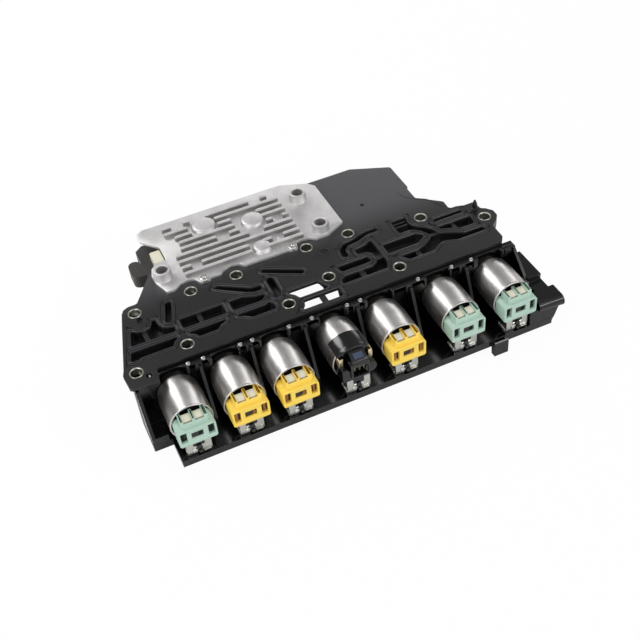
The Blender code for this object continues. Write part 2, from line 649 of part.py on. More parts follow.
def build_nose(number, x, material):
    """The valve sleeve: a neck that seats in the tray and a ported nose behind it."""
    bore = SPOOL_RADIUS + SPOOL_CLEARANCE
    start = CAN_BACK + GAP
    neck_end = start + NECK_LENGTH
    end = neck_end + NOSE_LENGTH
    groove = NOSE_RADIUS - 1.2
    profile = [(bore, start), (NECK_RADIUS, start), (NECK_RADIUS, neck_end), (NOSE_RADIUS, neck_end)]
    port = neck_end + NOSE_LENGTH * 0.4
    profile += [(NOSE_RADIUS, port), (groove, port), (groove, port + 3.0), (NOSE_RADIUS, port + 3.0)]
    profile += [(NOSE_RADIUS, end), (bore, end)]
    return turned(f"solenoid_{number}_nose", profile, (x, AXIS_Z), material, 12)


def build_spool(number, x, material):
    """The moving piece: an armature in the coil, a pin and a spool with two lands."""
    neck_end = CAN_BACK + GAP + NECK_LENGTH
    land = SPOOL_RADIUS
    waist = SPOOL_RADIUS - 1.5
    front = COIL_BORE_END + GAP
    back = CAN_BACK - SPOOL_STROKE
    profile = [(0.0, front), (ARMATURE_RADIUS, front), (ARMATURE_RADIUS, back), (waist, back),
               (waist, neck_end - 4.0), (land, neck_end - 4.0), (land, neck_end + 1.0),
               (waist, neck_end + 1.0), (waist, neck_end + 6.0), (land, neck_end + 6.0),
               (land, neck_end + NOSE_LENGTH - SPOOL_STROKE - 1.0),
               (0.0, neck_end + NOSE_LENGTH - SPOOL_STROKE - 1.0)]
    spool = turned(f"solenoid_{number}_spool", profile, (x, AXIS_Z), material, 8)
    set_origin(spool, (x, 0.0, AXIS_Z))
    return spool


def build_coil(number, x, material):
    """The coil and its connector, moulded in one: a bobbin in the can and a block before it."""
    inner = CAN_RADIUS - CAN_WALL - 2 * GAP
    bore = ARMATURE_RADIUS + SPOOL_CLEARANCE
    back = CAN_BACK - CAN_WALL - GAP
    front = CAN_FRONT - 0.6
    profile = [(0.0, front), (inner, front), (inner, back), (bore, back), (bore, COIL_BORE_END),
               (0.0, COIL_BORE_END)]
    coil = turned(f"solenoid_{number}_connector", profile, (x, AXIS_Z), material, 16)
    half = CONNECTOR_WIDTH / 2
    face = CAN_FRONT - CONNECTOR_DEPTH
    side = [(-half + 1.2, CONNECTOR_BOTTOM), (half - 1.2, CONNECTOR_BOTTOM), (half, CONNECTOR_BOTTOM + 1.2),
            (half, CONNECTOR_TOP - 3.0), (half - 3.4, CONNECTOR_TOP), (-half + 3.4, CONNECTOR_TOP),
            (-half, CONNECTOR_TOP - 3.0), (-half, CONNECTOR_BOTTOM + 1.2)]
    front_y = CAN_FRONT - GAP
    block = prism("block", [(z + AXIS_Z, x + dx) for dx, z in side], face, front_y, "y")
    latch = [(front_y, CONNECTOR_TOP - 2.0), (front_y, LATCH_TOP), (front_y - 6.4, LATCH_TOP - 0.6),
             (front_y - 7.6, CONNECTOR_TOP - 2.0)]
    latch = prism("latch", [(y, z + AXIS_Z) for y, z in latch], x - LATCH_WIDTH / 2, x + LATCH_WIDTH / 2, "x")
    join(coil, block, latch)
    cuts = []
    for low, high in (((-11.4, -3.8), (-7.4, 5.4)), ((-3.6, -2.4), (3.6, 2.6)), ((7.4, -3.8), (11.4, 5.4))):
        cuts.append(slab("window", (x + low[0], face - 1, AXIS_Z + low[1]),
                         (x + high[0], face + 5.0, AXIS_Z + high[1])))
    for side_x in (-4.2, 4.2):
        cuts.append(slab("cell", (x + side_x - 3.3, front_y - 5.6, AXIS_Z + LATCH_TOP - 2.4),
                         (x + side_x + 3.3, front_y - 0.9, AXIS_Z + LATCH_TOP + 2)))
    cut(coil, *cuts)
    return tidy(coil)


def build_black_coil(number, x, material):
    """The middle solenoid's black connector: a hood over the can and a round-sided block."""
    inner = CAN_RADIUS - CAN_WALL - 2 * GAP
    bore = ARMATURE_RADIUS + SPOOL_CLEARANCE
    back = CAN_BACK - CAN_WALL - GAP
    front = CAN_FRONT - 0.6
    profile = [(0.0, front), (inner, front), (inner, back), (bore, back), (bore, COIL_BORE_END),
               (0.0, COIL_BORE_END)]
    coil = turned(f"solenoid_{number}_connector", profile, (x, AXIS_Z), material, 16)
    face = CAN_FRONT - CONNECTOR_DEPTH
    front_y = CAN_FRONT - 0.4
    half = CONNECTOR_WIDTH / 2

    def arch(outer, inner, end, start_y, end_y):
        arc = [radians(90 + (end - 90) * t) for t in (1, 0.5, 0, -0.5, -1)]
        hoop = [(outer * sin(a) + AXIS_Z, x + outer * cos(a)) for a in arc]
        hoop += [(inner * sin(a) + AXIS_Z, x + inner * cos(a)) for a in arc[::-1]]
        return prism("arch", hoop, start_y, end_y, "y")
    hood_front = arch(CAN_RADIUS + 2.4, half - 1.0, 25, front_y - 5.0, front_y)
    cover = arch(CAN_RADIUS + 2.2, CAN_RADIUS + 1.0, 28, front_y - 2.0, CAN_FRONT + 13.0)
    side = [(-half + 1.6, CONNECTOR_BOTTOM), (half - 1.6, CONNECTOR_BOTTOM), (half, CONNECTOR_BOTTOM + 3.0),
            (half, 1.0), (half - 4.5, 8.0), (-half + 4.5, 8.0), (-half, 1.0), (-half, CONNECTOR_BOTTOM + 3.0)]
    block = prism("block", [(z + AXIS_Z, x + dx) for dx, z in side], face, front_y, "y")
    join(coil, hood_front, cover, block)
    cut(coil, slab("window", (x - 5.0, face - 1, AXIS_Z - 4.0), (x + 6.0, face + 6.0, AXIS_Z + 4.6)))
    return tidy(coil)


def build_bracket(number, x, material):
    """A folded sheet: an upright under the connector and a foot on the tray's rail."""
    foot_z = RAIL_TOP + GAP
    top = AXIS_Z + CONNECTOR_BOTTOM - GAP
    fold = [(BRACKET_FRONT, foot_z), (BRACKET_FRONT + 12.0, foot_z), (BRACKET_FRONT + 12.0, foot_z + BRACKET_SHEET),
            (BRACKET_FRONT + BRACKET_SHEET, foot_z + BRACKET_SHEET), (BRACKET_FRONT + BRACKET_SHEET, top),
            (BRACKET_FRONT, top)]
    left = x - 0.6 - BRACKET_WIDTH / 2
    bracket = prism(f"solenoid_{number}_bracket", fold, left, left + BRACKET_WIDTH, "x", material)
    opening = slab("opening", (x - 4.0, BRACKET_FRONT - 1, foot_z + BRACKET_SHEET + 0.8),
                   (x + 4.0, BRACKET_FRONT + 3, top - 3.0))
    slot = slab("slot", (x - 2.4, BRACKET_FRONT - 1, foot_z - 1), (x - 0.6, BRACKET_FRONT + 5.0, foot_z + 6.0))
    cut(bracket, opening, slot)
    return tidy(bracket)


# Control unit

def build_heat_sink(material):
    loops = {"outline": SINK_OUTLINE, "block": FIN_BLOCK, "pedestal": housing_outline(HOUSING_WALL + 7.0)}
    for row, runs in enumerate(FIN_ROWS):
        y = FIN_START[1] + row * FIN_PITCH
        for k, (start, end) in enumerate(runs):
            loops[f"fin {row} {k}"] = box_outline(start, y, end, y + FIN_WIDTH)
    for k, centre in enumerate(SINK_BOSSES):
        loops[f"boss {k}"] = circle(centre, SINK_BOSS_RADIUS, 14)
        loops[f"hole {k}"] = circle(centre, SINK_BOSS_HOLE, 12)
    for k, centre in enumerate(SINK_SCREWS):
        loops[f"screw {k}"] = circle(centre, SCREW_RADIUS + GAP, 6)
        loops[f"seat {k}"] = circle(centre, 3.8, 10)

    def levels(inside):
        kinds = {name.split(" ")[0] for name in inside}
        if not kinds & {"outline", "boss"} or kinds & {"hole", "screw"}:
            return None
        if "seat" in kinds:
            return GAP, SCREW_SEAT
        bottom = -SKIN + 0.4 if "pedestal" in kinds else GAP
        top = SINK_TOP
        if "block" in kinds:
            top = SINK_TOP + VALLEY_HEIGHT
        if "fin" in kinds:
            top = SINK_TOP + VALLEY_HEIGHT + FIN_HEIGHT
        if "boss" in kinds:
            top = SINK_TOP + SINK_BOSS_HEIGHT
        return bottom, top
    return terraces("heat_sink", loops, levels, material)


def build_sink_screw(number, centre, material):
    """A pan head screw that holds the heat sink down on the deck."""
    head_low = SCREW_SEAT + GAP
    profile = [(0.0, -SKIN), (SCREW_RADIUS, -SKIN), (SCREW_RADIUS, head_low), (3.5, head_low),
               (3.3, head_low + 1.4), (2.2, head_low + 2.2), (0.0, head_low + 2.2)]
    verts, faces, count = [], [], 8
    rings = []
    for radius, z in profile:
        if radius < 1e-6:
            rings.append([len(verts)] * count)
            verts.append((centre[0], centre[1], z))
            continue
        rings.append(list(range(len(verts), len(verts) + count)))
        for k in range(count):
            angle = 2 * pi * k / count
            verts.append((centre[0] + radius * cos(angle), centre[1] + radius * sin(angle), z))
    for i in range(len(rings) - 1):
        for k in range(count):
            n = (k + 1) % count
            corners = [rings[i][k], rings[i][n], rings[i + 1][n], rings[i + 1][k]]
            face = [c for m, c in enumerate(corners) if c not in corners[:m]]
            if len(face) > 2:
                faces.append(face)
    return add_object(f"sink_screw_{number}", verts, faces, material, smooth=True)


def build_board(material):
    """The control board with its larger components."""
    pedestal_low = -SKIN + 0.4
    top = pedestal_low - GAP - PAD_SHEET - GAP
    outline = grown(housing_outline(HOUSING_WALL), -1.0)
    loops = {"board": outline}
    places = [((70, 92), (84, 104)), ((92, 96), (112, 116)), ((122, 92), (132, 110)), ((140, 98), (154, 124)),
              ((72, 114), (84, 132))]
    for k, (low, high) in enumerate(places):
        loops[f"chip {k}"] = box_outline(*low, *high)

    def levels(inside):
        chip = any(name.startswith("chip") for name in inside)
        return top - BOARD_SHEET - (2.4 if chip else 0.0), top
    return terraces("control_board", loops, levels, material)


def build_pad(material):
    pedestal_low = -SKIN + 0.4
    outline = grown(housing_outline(HOUSING_WALL + 7.0), -2.0)
    top = pedestal_low - GAP
    return prism("thermal_pad", outline, top - PAD_SHEET, top, "z", material)


def build_rear_cover(material):
    """A lid under the board housing, with four posts that hold the board up."""
    top = -HOUSING_DEPTH - GAP
    loops = {"plate": rounded(grown(housing_outline(), 1.5), 3.0, 2)}
    board_low = -SKIN + 0.4 - GAP - PAD_SHEET - GAP - BOARD_SHEET
    for k, centre in enumerate([(68.0, 90.0), (158.0, 90.0), (68.0, 134.0), (158.0, 134.0)]):
        loops[f"post {k}"] = circle(centre, 2.4, 8)
    for k in range(5):
        x = 78.0 + 17.5 * k
        loops[f"rib {k}"] = box_outline(x, 88.0, x + 1.6, 136.0)

    def levels(inside):
        kinds = {name.split(" ")[0] for name in inside}
        low = top - COVER_SHEET - (1.5 if "rib" in kinds else 0.0)
        return low, board_low - GAP if "post" in kinds else top
    return terraces("rear_cover", loops, levels, material)


def build_harness_connector(material):
    """The plug tower on the underside, with its deck beside the heat sink and a fixing ear."""
    edge = 60.0 - GAP
    deck = [(42.0, 107.0), (edge, 107.0), (edge, 142.0), (47.6, 142.0), (42.0, 137.4)]
    cover_low = -HOUSING_DEPTH - GAP - COVER_SHEET
    body = prism("harness_connector", deck, cover_low - 2.0, CONNECTOR_DECK, "z", material)
    ear = stroke([(36.8, 123.0), (36.8, 113.4)], 4.6, 6)
    bridge = box_outline(36.8, 108.8, 44.0, 123.4)
    parts = [prism("ear", ear, -15.0, CONNECTOR_DECK - 0.2, "z"),
             prism("bridge", bridge, -14.6, CONNECTOR_DECK - 0.1, "z"),
             prism("tower", circle(TOWER, TOWER_RADIUS, 20), REST, cover_low - GAP, "z")]
    join(body, *parts)
    cut(body, prism("socket", circle(TOWER, TOWER_RADIUS - 1.8, 20), REST - 1, SOCKET_FLOOR, "z"))
    return tidy(body)


def build_insert(material):
    """The pale terminal carrier in the notch of the heat sink."""
    low = CONNECTOR_DECK + GAP
    outline = rounded(box_outline(49.6, 110.2, 57.4, 124.0), 1.2, 2)
    return prism("terminal_carrier", outline, low, 0.8, "z", material)


def main():
    clear_scene()
    plastic = make_material("black glass-filled nylon", (0.028, 0.028, 0.031), 0.42)
    tray_plastic = make_material("black glossy nylon", (0.012, 0.012, 0.014), 0.22)
    rubber = make_material("silicone gasket", (0.02, 0.02, 0.022), 0.5)
    steel = make_material("drawn steel", (0.72, 0.70, 0.68), 0.22, 1.0)
    zinc = make_material("plated steel", (0.62, 0.64, 0.60), 0.35, 1.0)
    cast = make_material("cast aluminium", (0.80, 0.79, 0.78), 0.45, 1.0)
    colours = {
        "green": make_material("mint green nylon", (0.40, 0.58, 0.46), 0.45),
        "yellow": make_material("yellow nylon", (0.92, 0.52, 0.02), 0.45),
        "black": make_material("black nylon", (0.03, 0.03, 0.033), 0.35),
    }
    brown = make_material("brown grey nylon", (0.16, 0.15, 0.14), 0.5)
    cream = make_material("cream nylon", (0.72, 0.70, 0.58), 0.5)
    board = make_material("circuit board", (0.02, 0.16, 0.07), 0.5)
    silver = make_material("thermal pad", (0.35, 0.38, 0.42), 0.8)
    build_channel_plate(plastic)
    build_gasket(rubber)
    for number, centre in enumerate(BUSHINGS, 1):
        build_bushing(number, centre, zinc)
    build_tray(tray_plastic)
    for number, (x, kind) in enumerate(zip(SOLENOIDS, SOLENOID_KINDS), 1):
        build_can(number, x, steel)
        build_nose(number, x, zinc)
        build_spool(number, x, steel)
        if kind == "black":
            build_black_coil(number, x, colours[kind])
        else:
            build_coil(number, x, colours[kind])
        build_bracket(number, x, zinc)
    build_heat_sink(cast)
    for number, centre in enumerate(SINK_SCREWS, 1):
        build_sink_screw(number, centre, zinc)
    build_pad(silver)
    build_board(board)
    build_rear_cover(plastic)
    build_harness_connector(brown)
    build_insert(cream)


main()
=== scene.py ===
# %% [markdown]
# # A transmission's solenoid and control module
# The real object is a long black moulding that lies on a casing with its gasket face, seen here
# face up. Seven solenoids stand in a tray along its front edge and a finned aluminium casting
# cools the electronics behind. Lengths are millimetres here and become metres in one place, so
# that every number can be checked with a ruler.

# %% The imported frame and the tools
from math import cos, pi, radians, sin

import bmesh
import bpy
import numpy as np
from mathutils import Matrix, Vector
from mathutils.geometry import delaunay_2d_cdt


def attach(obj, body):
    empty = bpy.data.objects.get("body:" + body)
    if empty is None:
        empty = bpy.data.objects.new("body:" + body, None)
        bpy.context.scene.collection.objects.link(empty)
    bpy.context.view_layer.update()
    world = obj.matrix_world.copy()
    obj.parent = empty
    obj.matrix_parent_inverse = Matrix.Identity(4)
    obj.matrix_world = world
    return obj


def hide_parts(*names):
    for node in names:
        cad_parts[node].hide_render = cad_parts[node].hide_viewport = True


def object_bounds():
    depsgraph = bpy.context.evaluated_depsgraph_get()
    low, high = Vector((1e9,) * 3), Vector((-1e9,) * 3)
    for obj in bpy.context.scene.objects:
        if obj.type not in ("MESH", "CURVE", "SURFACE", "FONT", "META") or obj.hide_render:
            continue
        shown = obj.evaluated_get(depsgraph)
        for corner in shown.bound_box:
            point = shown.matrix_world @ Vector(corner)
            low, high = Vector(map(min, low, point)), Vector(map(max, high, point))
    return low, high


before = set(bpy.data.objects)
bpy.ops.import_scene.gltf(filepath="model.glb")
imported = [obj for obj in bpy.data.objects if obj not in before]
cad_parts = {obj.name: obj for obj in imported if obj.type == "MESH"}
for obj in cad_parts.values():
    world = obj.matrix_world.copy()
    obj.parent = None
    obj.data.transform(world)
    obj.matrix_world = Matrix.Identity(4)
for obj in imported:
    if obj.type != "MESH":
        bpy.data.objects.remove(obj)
cad_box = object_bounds()
BODY = "module"
MM = 0.001
ORIGIN = np.array([150.0, 60.0, 0.0])

# %% [markdown]
# ## From arrays to meshes
# Each piece is worked out as an array of points and then handed to Blender in one call. A shell
# that repeats its section along a path is a grid, so its faces follow from the grid's size alone.

# %% Meshes from arrays

WELD = 2e-6             # metres within which two points become one
CREASE = radians(35)    # an edge that turns by more than this is drawn sharp


def to_metres(points):
    """A point in the frame is (point - origin) / 1000."""
    return (np.asarray(points, dtype=float) - ORIGIN) * MM


def grid_faces(rows, columns, wrap_rows=False, wrap_columns=False):
    """Quads of a grid: each joins point (i, j) to (i, j+1), (i+1, j+1) and (i+1, j)."""
    index = np.arange(rows * columns).reshape(rows, columns)
    if wrap_rows:
        index = np.vstack([index, index[:1]])
    if wrap_columns:
        index = np.hstack([index, index[:, :1]])
    quads = np.stack([index[:-1, :-1], index[:-1, 1:], index[1:, 1:], index[1:, :-1]], axis=-1)
    return quads.reshape(-1, 4).tolist()


class Shape:
    """Collects the points and faces of one piece before it becomes a mesh."""

    def __init__(self):
        self.points = []
        self.faces = []

    def count(self):
        """The number of points so far."""
        return sum(len(p) for p in self.points)

    def add(self, points, faces):
        """Adds points and faces, whose corners are counted from 0 within these points."""
        start = self.count()
        self.points.append(np.asarray(points, dtype=float).reshape(-1, 3))
        self.faces += [[corner + start for corner in face] for face in faces]
        return self

    def add_grid(self, grid, wrap_rows=False, wrap_columns=False):
        """Adds a grid of points and all its quads."""
        rows, columns = grid.shape[:2]
        return self.add(grid, grid_faces(rows, columns, wrap_rows, wrap_columns))


def make_piece(name, shape, material, body=BODY, flip=True):
    """Turns a shape into an object that rides on a body, with its normals pointing outwards."""
    mesh = bpy.data.meshes.new(name)
    mesh.from_pydata(to_metres(np.vstack(shape.points)).tolist(), [], shape.faces)
    mesh.validate()
    if flip:
        work = bmesh.new()
        work.from_mesh(mesh)
        bmesh.ops.remove_doubles(work, verts=work.verts, dist=WELD)
        bmesh.ops.recalc_face_normals(work, faces=work.faces)
        work.to_mesh(mesh)
        work.free()
    mesh.materials.append(material)
    mesh.shade_smooth()
    mesh.set_sharp_from_angle(angle=CREASE)
    piece = bpy.data.objects.new(name, mesh)
    bpy.context.scene.collection.objects.link(piece)
    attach(piece, body)
    return piece


print("quads of a 3 by 4 grid:", len(grid_faces(3, 4)))

# %% [markdown]
# ## Plane outlines
# Moulded and stamped pieces start as outlines. An outline here is an N by 2 array that runs
# anticlockwise. Moving each point along its mitred normal grows or shrinks the outline, which is
# how a wall gets its draft and an edge its radius.

# %% Outline helpers

SPIKE = 0.4
SIDE_SHARE = 0.48


def signed_area(outline):
    """Half the sum of the cross products of neighbouring points."""
    after = np.roll(outline, -1, axis=0)
    return 0.5 * float(np.sum(outline[:, 0] * after[:, 1] - after[:, 0] * outline[:, 1]))


def loop(points):
    """An outline as an array that runs anticlockwise."""
    outline = np.asarray(points, dtype=float)
    return outline if signed_area(outline) > 0 else outline[::-1]


def unit(vectors):
    """Each vector over its length."""
    return vectors / (np.linalg.norm(vectors, axis=1, keepdims=True) + 1e-12)


def outward(sides):
    """The normal (y, -x) of each side (x, y), which points out of an anticlockwise outline."""
    return unit(np.stack([sides[:, 1], -sides[:, 0]], axis=1))


def grow(outline, distance):
    """Each point moves along n1 + n2 over 1 + n1.n2, the mitre of its two sides' normals.

    The divisor stays above SPIKE, so that a sharp corner doesn't grow into a spike.
    """
    n1 = outward(outline - np.roll(outline, 1, axis=0))
    n2 = outward(np.roll(outline, -1, axis=0) - outline)
    spread = np.maximum(1.0 + np.sum(n1 * n2, axis=1, keepdims=True), SPIKE)
    return outline + (n1 + n2) / spread * distance


def rounded(points, radius, steps=4):
    """Each corner becomes a quadratic curve (1-t)^2 a + 2t(1-t) c + t^2 b between its sides.

    It takes up at most SIDE_SHARE of either side.
    """
    corner = loop(points)
    back = np.roll(corner, 1, axis=0) - corner
    ahead = np.roll(corner, -1, axis=0) - corner
    back_length = np.linalg.norm(back, axis=1, keepdims=True)
    ahead_length = np.linalg.norm(ahead, axis=1, keepdims=True)
    cosine = np.sum(back * ahead, axis=1, keepdims=True) / (back_length * ahead_length)
    half = np.arccos(np.clip(cosine, -1, 1)) / 2
    radii = np.broadcast_to(np.asarray(radius, dtype=float).reshape(-1, 1), half.shape)
    reach = np.minimum(radii / np.tan(half), np.minimum(back_length, ahead_length) * SIDE_SHARE)
    start = corner + back / back_length * reach
    end = corner + ahead / ahead_length * reach
    t = np.linspace(0, 1, steps + 1).reshape(1, -1, 1)
    curve = start[:, None] * (1 - t) ** 2 + corner[:, None] * 2 * t * (1 - t) + end[:, None] * t ** 2
    return curve.reshape(-1, 2)


def rectangle(x0, y0, x1, y1, radius=0.0):
    """Four corners, rounded where a radius is given."""
    corners = [(x0, y0), (x1, y0), (x1, y1), (x0, y1)]
    return rounded(corners, radius, 3) if radius else loop(corners)


def circle(centre, radius, count=32):
    """Points at (cos a, sin a) times the radius."""
    angle = np.linspace(0, 2 * pi, count, endpoint=False)
    return np.stack([centre[0] + radius * np.cos(angle), centre[1] + radius * np.sin(angle)], axis=1)


print("area of a unit circle:", round(signed_area(circle((0, 0), 1.0)), 3))

# %% Strokes and even spacing


def stroke(path, half_width, cap=8):
    """Both sides of a centre line, joined by half circles at its ends."""
    points = np.asarray(path, dtype=float)
    step = unit(np.diff(points, axis=0))
    along = unit(np.vstack([step[:1], step[:-1] + step[1:], step[-1:]])) * half_width
    out = -outward(along) * half_width
    angle = np.linspace(0, pi, cap + 2)[1:-1, None]
    end = points[-1] + out[-1] * np.cos(angle) + along[-1] * np.sin(angle)
    start = points[0] - out[0] * np.cos(angle) - along[0] * np.sin(angle)
    return loop(np.vstack([points + out, end, (points - out)[::-1], start]))


def evenly(outline, spacing):
    """Points at equal distances along a closed outline, with its corners kept."""
    after = np.roll(outline, -1, axis=0)
    pieces = np.maximum(np.ceil(np.linalg.norm(after - outline, axis=1) / spacing).astype(int), 1)
    side = np.repeat(np.arange(len(outline)), pieces)
    first = np.concatenate([[0], np.cumsum(pieces)[:-1]])
    t = ((np.arange(pieces.sum()) - first[side]) / pieces[side])[:, None]
    return outline[side] * (1 - t) + after[side] * t


print("points round a 10 by 4 box:", len(evenly(rectangle(0, 0, 10, 4), 1.0)))

# %% [markdown]
# ## Walls, lids and turned shells
# A profile is a list of (inset, height) steps. Carried round an outline it gives a wall with its
# draft and rounded edges, and a flat lid closes it. A pocket is such a wall carried inwards from
# a hole in a lid. Turned pieces carry a (radius, length) profile round an axis.

# %% Profiles carried round outlines

PLANES = {
    "top": lambda u, v, h: (u, v, h),       # drawn in X and Y, rising along Z
    "front": lambda u, v, h: (u, -h, v),    # drawn in X and Z, coming towards -Y
    "side": lambda u, v, h: (h, u, v),      # drawn in Y and Z, going along X
}


def placed(outline, height, plane):
    """Puts an outline at a height over its plane."""
    height = np.broadcast_to(height, outline.shape[:-1])
    return np.stack(PLANES[plane](outline[..., 0], outline[..., 1], height), axis=-1)


def wall(shape, outline, profile, plane="top"):
    """Rings of an outline, each shrunk by the profile's inset and set at its height."""
    rings = np.stack([placed(grow(outline, -inset), height, plane) for inset, height in profile])
    return shape.add_grid(rings, wrap_columns=True)


def lid(shape, outline, height, plane="top", holes=()):
    """A flat face inside an outline, outside every hole."""
    loops = [outline] + list(holes)
    starts = np.cumsum([0] + [len(ring) for ring in loops])
    rings = [list(range(start, end)) for start, end in zip(starts, starts[1:])]
    corners = [Vector(p) for p in np.vstack(loops)]
    flat, _, cells, _, _, owners = delaunay_2d_cdt(corners, [], rings, 1, 1e-6)
    kept = [list(c) for c, owner in zip(cells, owners) if 0 in owner and not set(owner) - {0}]
    return shape.add(placed(np.array([(p.x, p.y) for p in flat]), height, plane), kept)


print("planes to draw in:", *PLANES)

# %% Blocks, pockets and turned shells


def edge_profile(top, bottom, radius, draft=0.0):
    """A rounded upper edge and a wall down to the bottom: a quarter circle, then a slope."""
    angle = np.linspace(0, pi / 2, 4)
    quarter = [(radius * (1 - sin(a)), top - radius * (1 - cos(a))) for a in angle]
    return quarter + [(-draft, bottom)]


def block(shape, outline, bottom, top, radius=0.3, plane="top", draft=0.0, base=True):
    """A solid with a rounded upper edge. In the plane "front" its top faces -Y."""
    wall(shape, outline, edge_profile(top, bottom, radius, draft), plane)
    lid(shape, grow(outline, -radius), top, plane)
    if base:
        lid(shape, grow(outline, draft), bottom, plane)
    return shape


def pocket(shape, outline, top, floor, radius, plane):
    """A recess: its mouth is rounded, its wall runs straight in, and a floor closes it."""
    angle = np.linspace(0, pi / 2, 3)
    profile = [(-radius * (1 - sin(a)), top - radius * (1 - cos(a))) for a in angle]
    wall(shape, outline, profile + [(0.0, floor)], plane)
    return lid(shape, outline, floor, plane)


def turned(shape, profile, centre, axis="y", count=48, closed=True):
    """A (radius, length) profile turned about an axis: (r cos a, r sin a) at each length."""
    profile = np.asarray(profile, dtype=float)
    angle = np.linspace(0, 2 * pi, count, endpoint=False)
    radius, length = profile[:, :1], np.repeat(profile[:, 1:], count, axis=1)
    u, v = radius * np.cos(angle) + centre[0], radius * np.sin(angle) + centre[1]
    grid = np.stack([u, length, v] if axis == "y" else [u, v, length], axis=-1)
    return shape.add_grid(grid, wrap_rows=closed, wrap_columns=True)


print("faces of a plain block:", len(block(Shape(), rectangle(0, 0, 4, 2), 0, 1).faces))

# %% [markdown]
# ## Colours and the node helper
# Colours are written the way a paint program shows them, in sRGB, and turned to the linear values
# that Cycles mixes. One function adds a node with its settings and its links, which keeps each
# material short enough to read as a recipe.

# %% Colour and node helpers


def srgb(code):
    """Each channel c becomes ((c + 0.055) / 1.055) ^ 2.4, or c / 12.92 near black."""
    channel = np.array([int(code[i:i + 2], 16) for i in (1, 3, 5)]) / 255
    linear = np.where(channel > 0.04045, ((channel + 0.055) / 1.055) ** 2.4, channel / 12.92)
    return (*linear.tolist(), 1.0)


def add_node(tree, kind, links=None, **settings):
    """Adds a node. Settings are sockets by name or properties, links are sources by socket."""
    node = tree.nodes.new("ShaderNode" + kind)
    for key, value in settings.items():
        if hasattr(node, key):
            setattr(node, key, value)
    for key, value in settings.items():
        if not hasattr(node, key):
            node.inputs[key.replace("_", " ")].default_value = value
    for key, source in (links or {}).items():
        socket = node.inputs[key] if isinstance(key, int) else node.inputs[key.replace("_", " ")]
        tree.links.new(source, socket)
    return node


def new_material(name):
    """An empty material and its node tree."""
    material = bpy.data.materials.new(name)
    material.use_nodes = True
    material.node_tree.nodes.clear()
    return material, material.node_tree


def mix_colours(tree, factor, low, high):
    """low (1 - factor) + high factor, where each is a colour code or a node's output."""
    mix = add_node(tree, "Mix", {"Factor": factor}, data_type="RGBA")
    for socket, colour in ((mix.inputs[6], low), (mix.inputs[7], high)):
        if isinstance(colour, str):
            socket.default_value = srgb(colour)
        else:
            tree.links.new(colour, socket)
    return mix.outputs[2]


def finish_material(material, tree, shader):
    """Makes a shader what the surface shows."""
    add_node(tree, "OutputMaterial", {"Surface": shader.outputs[0]})
    return material


def finish_skin(material, tree, tint, grain, roughness, spread, bump_mm, strength, edge=None, **settings):
    """One grain noise gives both the roughness and the bump of a surface."""
    height = grain.outputs["Fac"]
    rough = add_node(tree, "MapRange", {"Value": height}, To_Min=roughness - spread,
                     To_Max=roughness + spread)
    bump = add_node(tree, "Bump", {"Height": height, **(edge or {})}, Strength=strength,
                    Distance=bump_mm * MM)
    links = {"Base_Color": tint, "Roughness": rough.outputs[0], "Normal": bump.outputs[0]}
    return finish_material(material, tree, add_node(tree, "BsdfPrincipled", links, **settings))


print("mid grey in linear light:", round(srgb("#808080")[0], 3))

# %% [markdown]
# ## Moulded plastics
# The channel plate is glass-filled nylon. Its skin is slightly grey and matt because short glass
# fibres lie just under it. So a fine noise varies its roughness and relief, and a coarse one gives
# its grey the faint cloudiness of the melt. The tray is the same family of plastic, polished by
# its mould.

# %% Nylon materials

NYLON_CLOUD = 14 * MM    # size of the melt's clouds
NYLON_GRAIN = 0.35 * MM  # size of the fibres' grain
# The deck's lighter grey towards the rear is a painted reflection of the light behind.
DECK_SHEEN_BLEND = 40 * MM     # the deck's grey takes over from Y = 0 to here


def nylon(name, dark, light, roughness, grain_bump=0.02, edge_mm=0.0, spread=0.08, deck=None):
    """Cloudy colour from coarse noise, fine grain as bump, and edges rounded in the shading.

    Where a deck colour is given, it takes over towards the rear as a painted reflection.
    """
    material, tree = new_material(name)
    place = add_node(tree, "TexCoord").outputs["Object"]
    cloud = add_node(tree, "TexNoise", {"Vector": place}, Scale=1 / NYLON_CLOUD, Detail=4.0)
    tint = mix_colours(tree, cloud.outputs["Fac"], dark, light)
    if deck:
        axes = add_node(tree, "SeparateXYZ", {"Vector": place})
        share = add_node(tree, "MapRange", {"Value": axes.outputs["Y"]}, interpolation_type="SMOOTHSTEP",
                         From_Min=0.0, From_Max=DECK_SHEEN_BLEND)
        tint = mix_colours(tree, share.outputs[0], tint, deck)
    grain = add_node(tree, "TexNoise", {"Vector": place}, Scale=1 / NYLON_GRAIN, Detail=3.0)
    edge = {}
    if edge_mm:
        edge["Normal"] = add_node(tree, "Bevel", samples=4, Radius=edge_mm * MM).outputs["Normal"]
    return finish_skin(material, tree, tint, grain, roughness, spread, grain_bump, 0.5, edge, IOR=1.53)


# The plate is near black; its lighter grey towards the rear is a painted reflection.
plate_nylon = nylon("glass_filled_nylon", "#0e0e0f", "#161617", 0.32, edge_mm=0.45, deck="#444446")
tray_nylon = nylon("polished_black_nylon", "#030304", "#070708", 0.17, grain_bump=0.005, edge_mm=0.4,
                   spread=0.04)
# The rims are the plate's black nylon made lighter grey: a painted highlight on their rounded ridges.
rim_highlight_nylon = nylon("rim_highlight_nylon", "#333334", "#404042", 0.3, grain_bump=0.006)
bead_rubber = nylon("silicone_bead", "#08080a", "#0e0e10", 0.36, grain_bump=0.006)
yellow_nylon = nylon("yellow_nylon", "#f6cf4a", "#fbd95e", 0.36, grain_bump=0.01, spread=0.05)
green_nylon = nylon("mint_nylon", "#a6c2b1", "#b6d0c1", 0.4, grain_bump=0.01, spread=0.05)
black_nylon = nylon("hood_nylon", "#070708", "#0e0e10", 0.18, grain_bump=0.006, spread=0.05)
slate_nylon = nylon("slate_nylon", "#2b384d", "#3a4a63", 0.3, grain_bump=0.006)
coil_nylon = nylon("coil_former", "#0a0a0b", "#141416", 0.4)
plug_nylon = nylon("plug_nylon", "#2c2825", "#393430", 0.45, edge_mm=0.4)
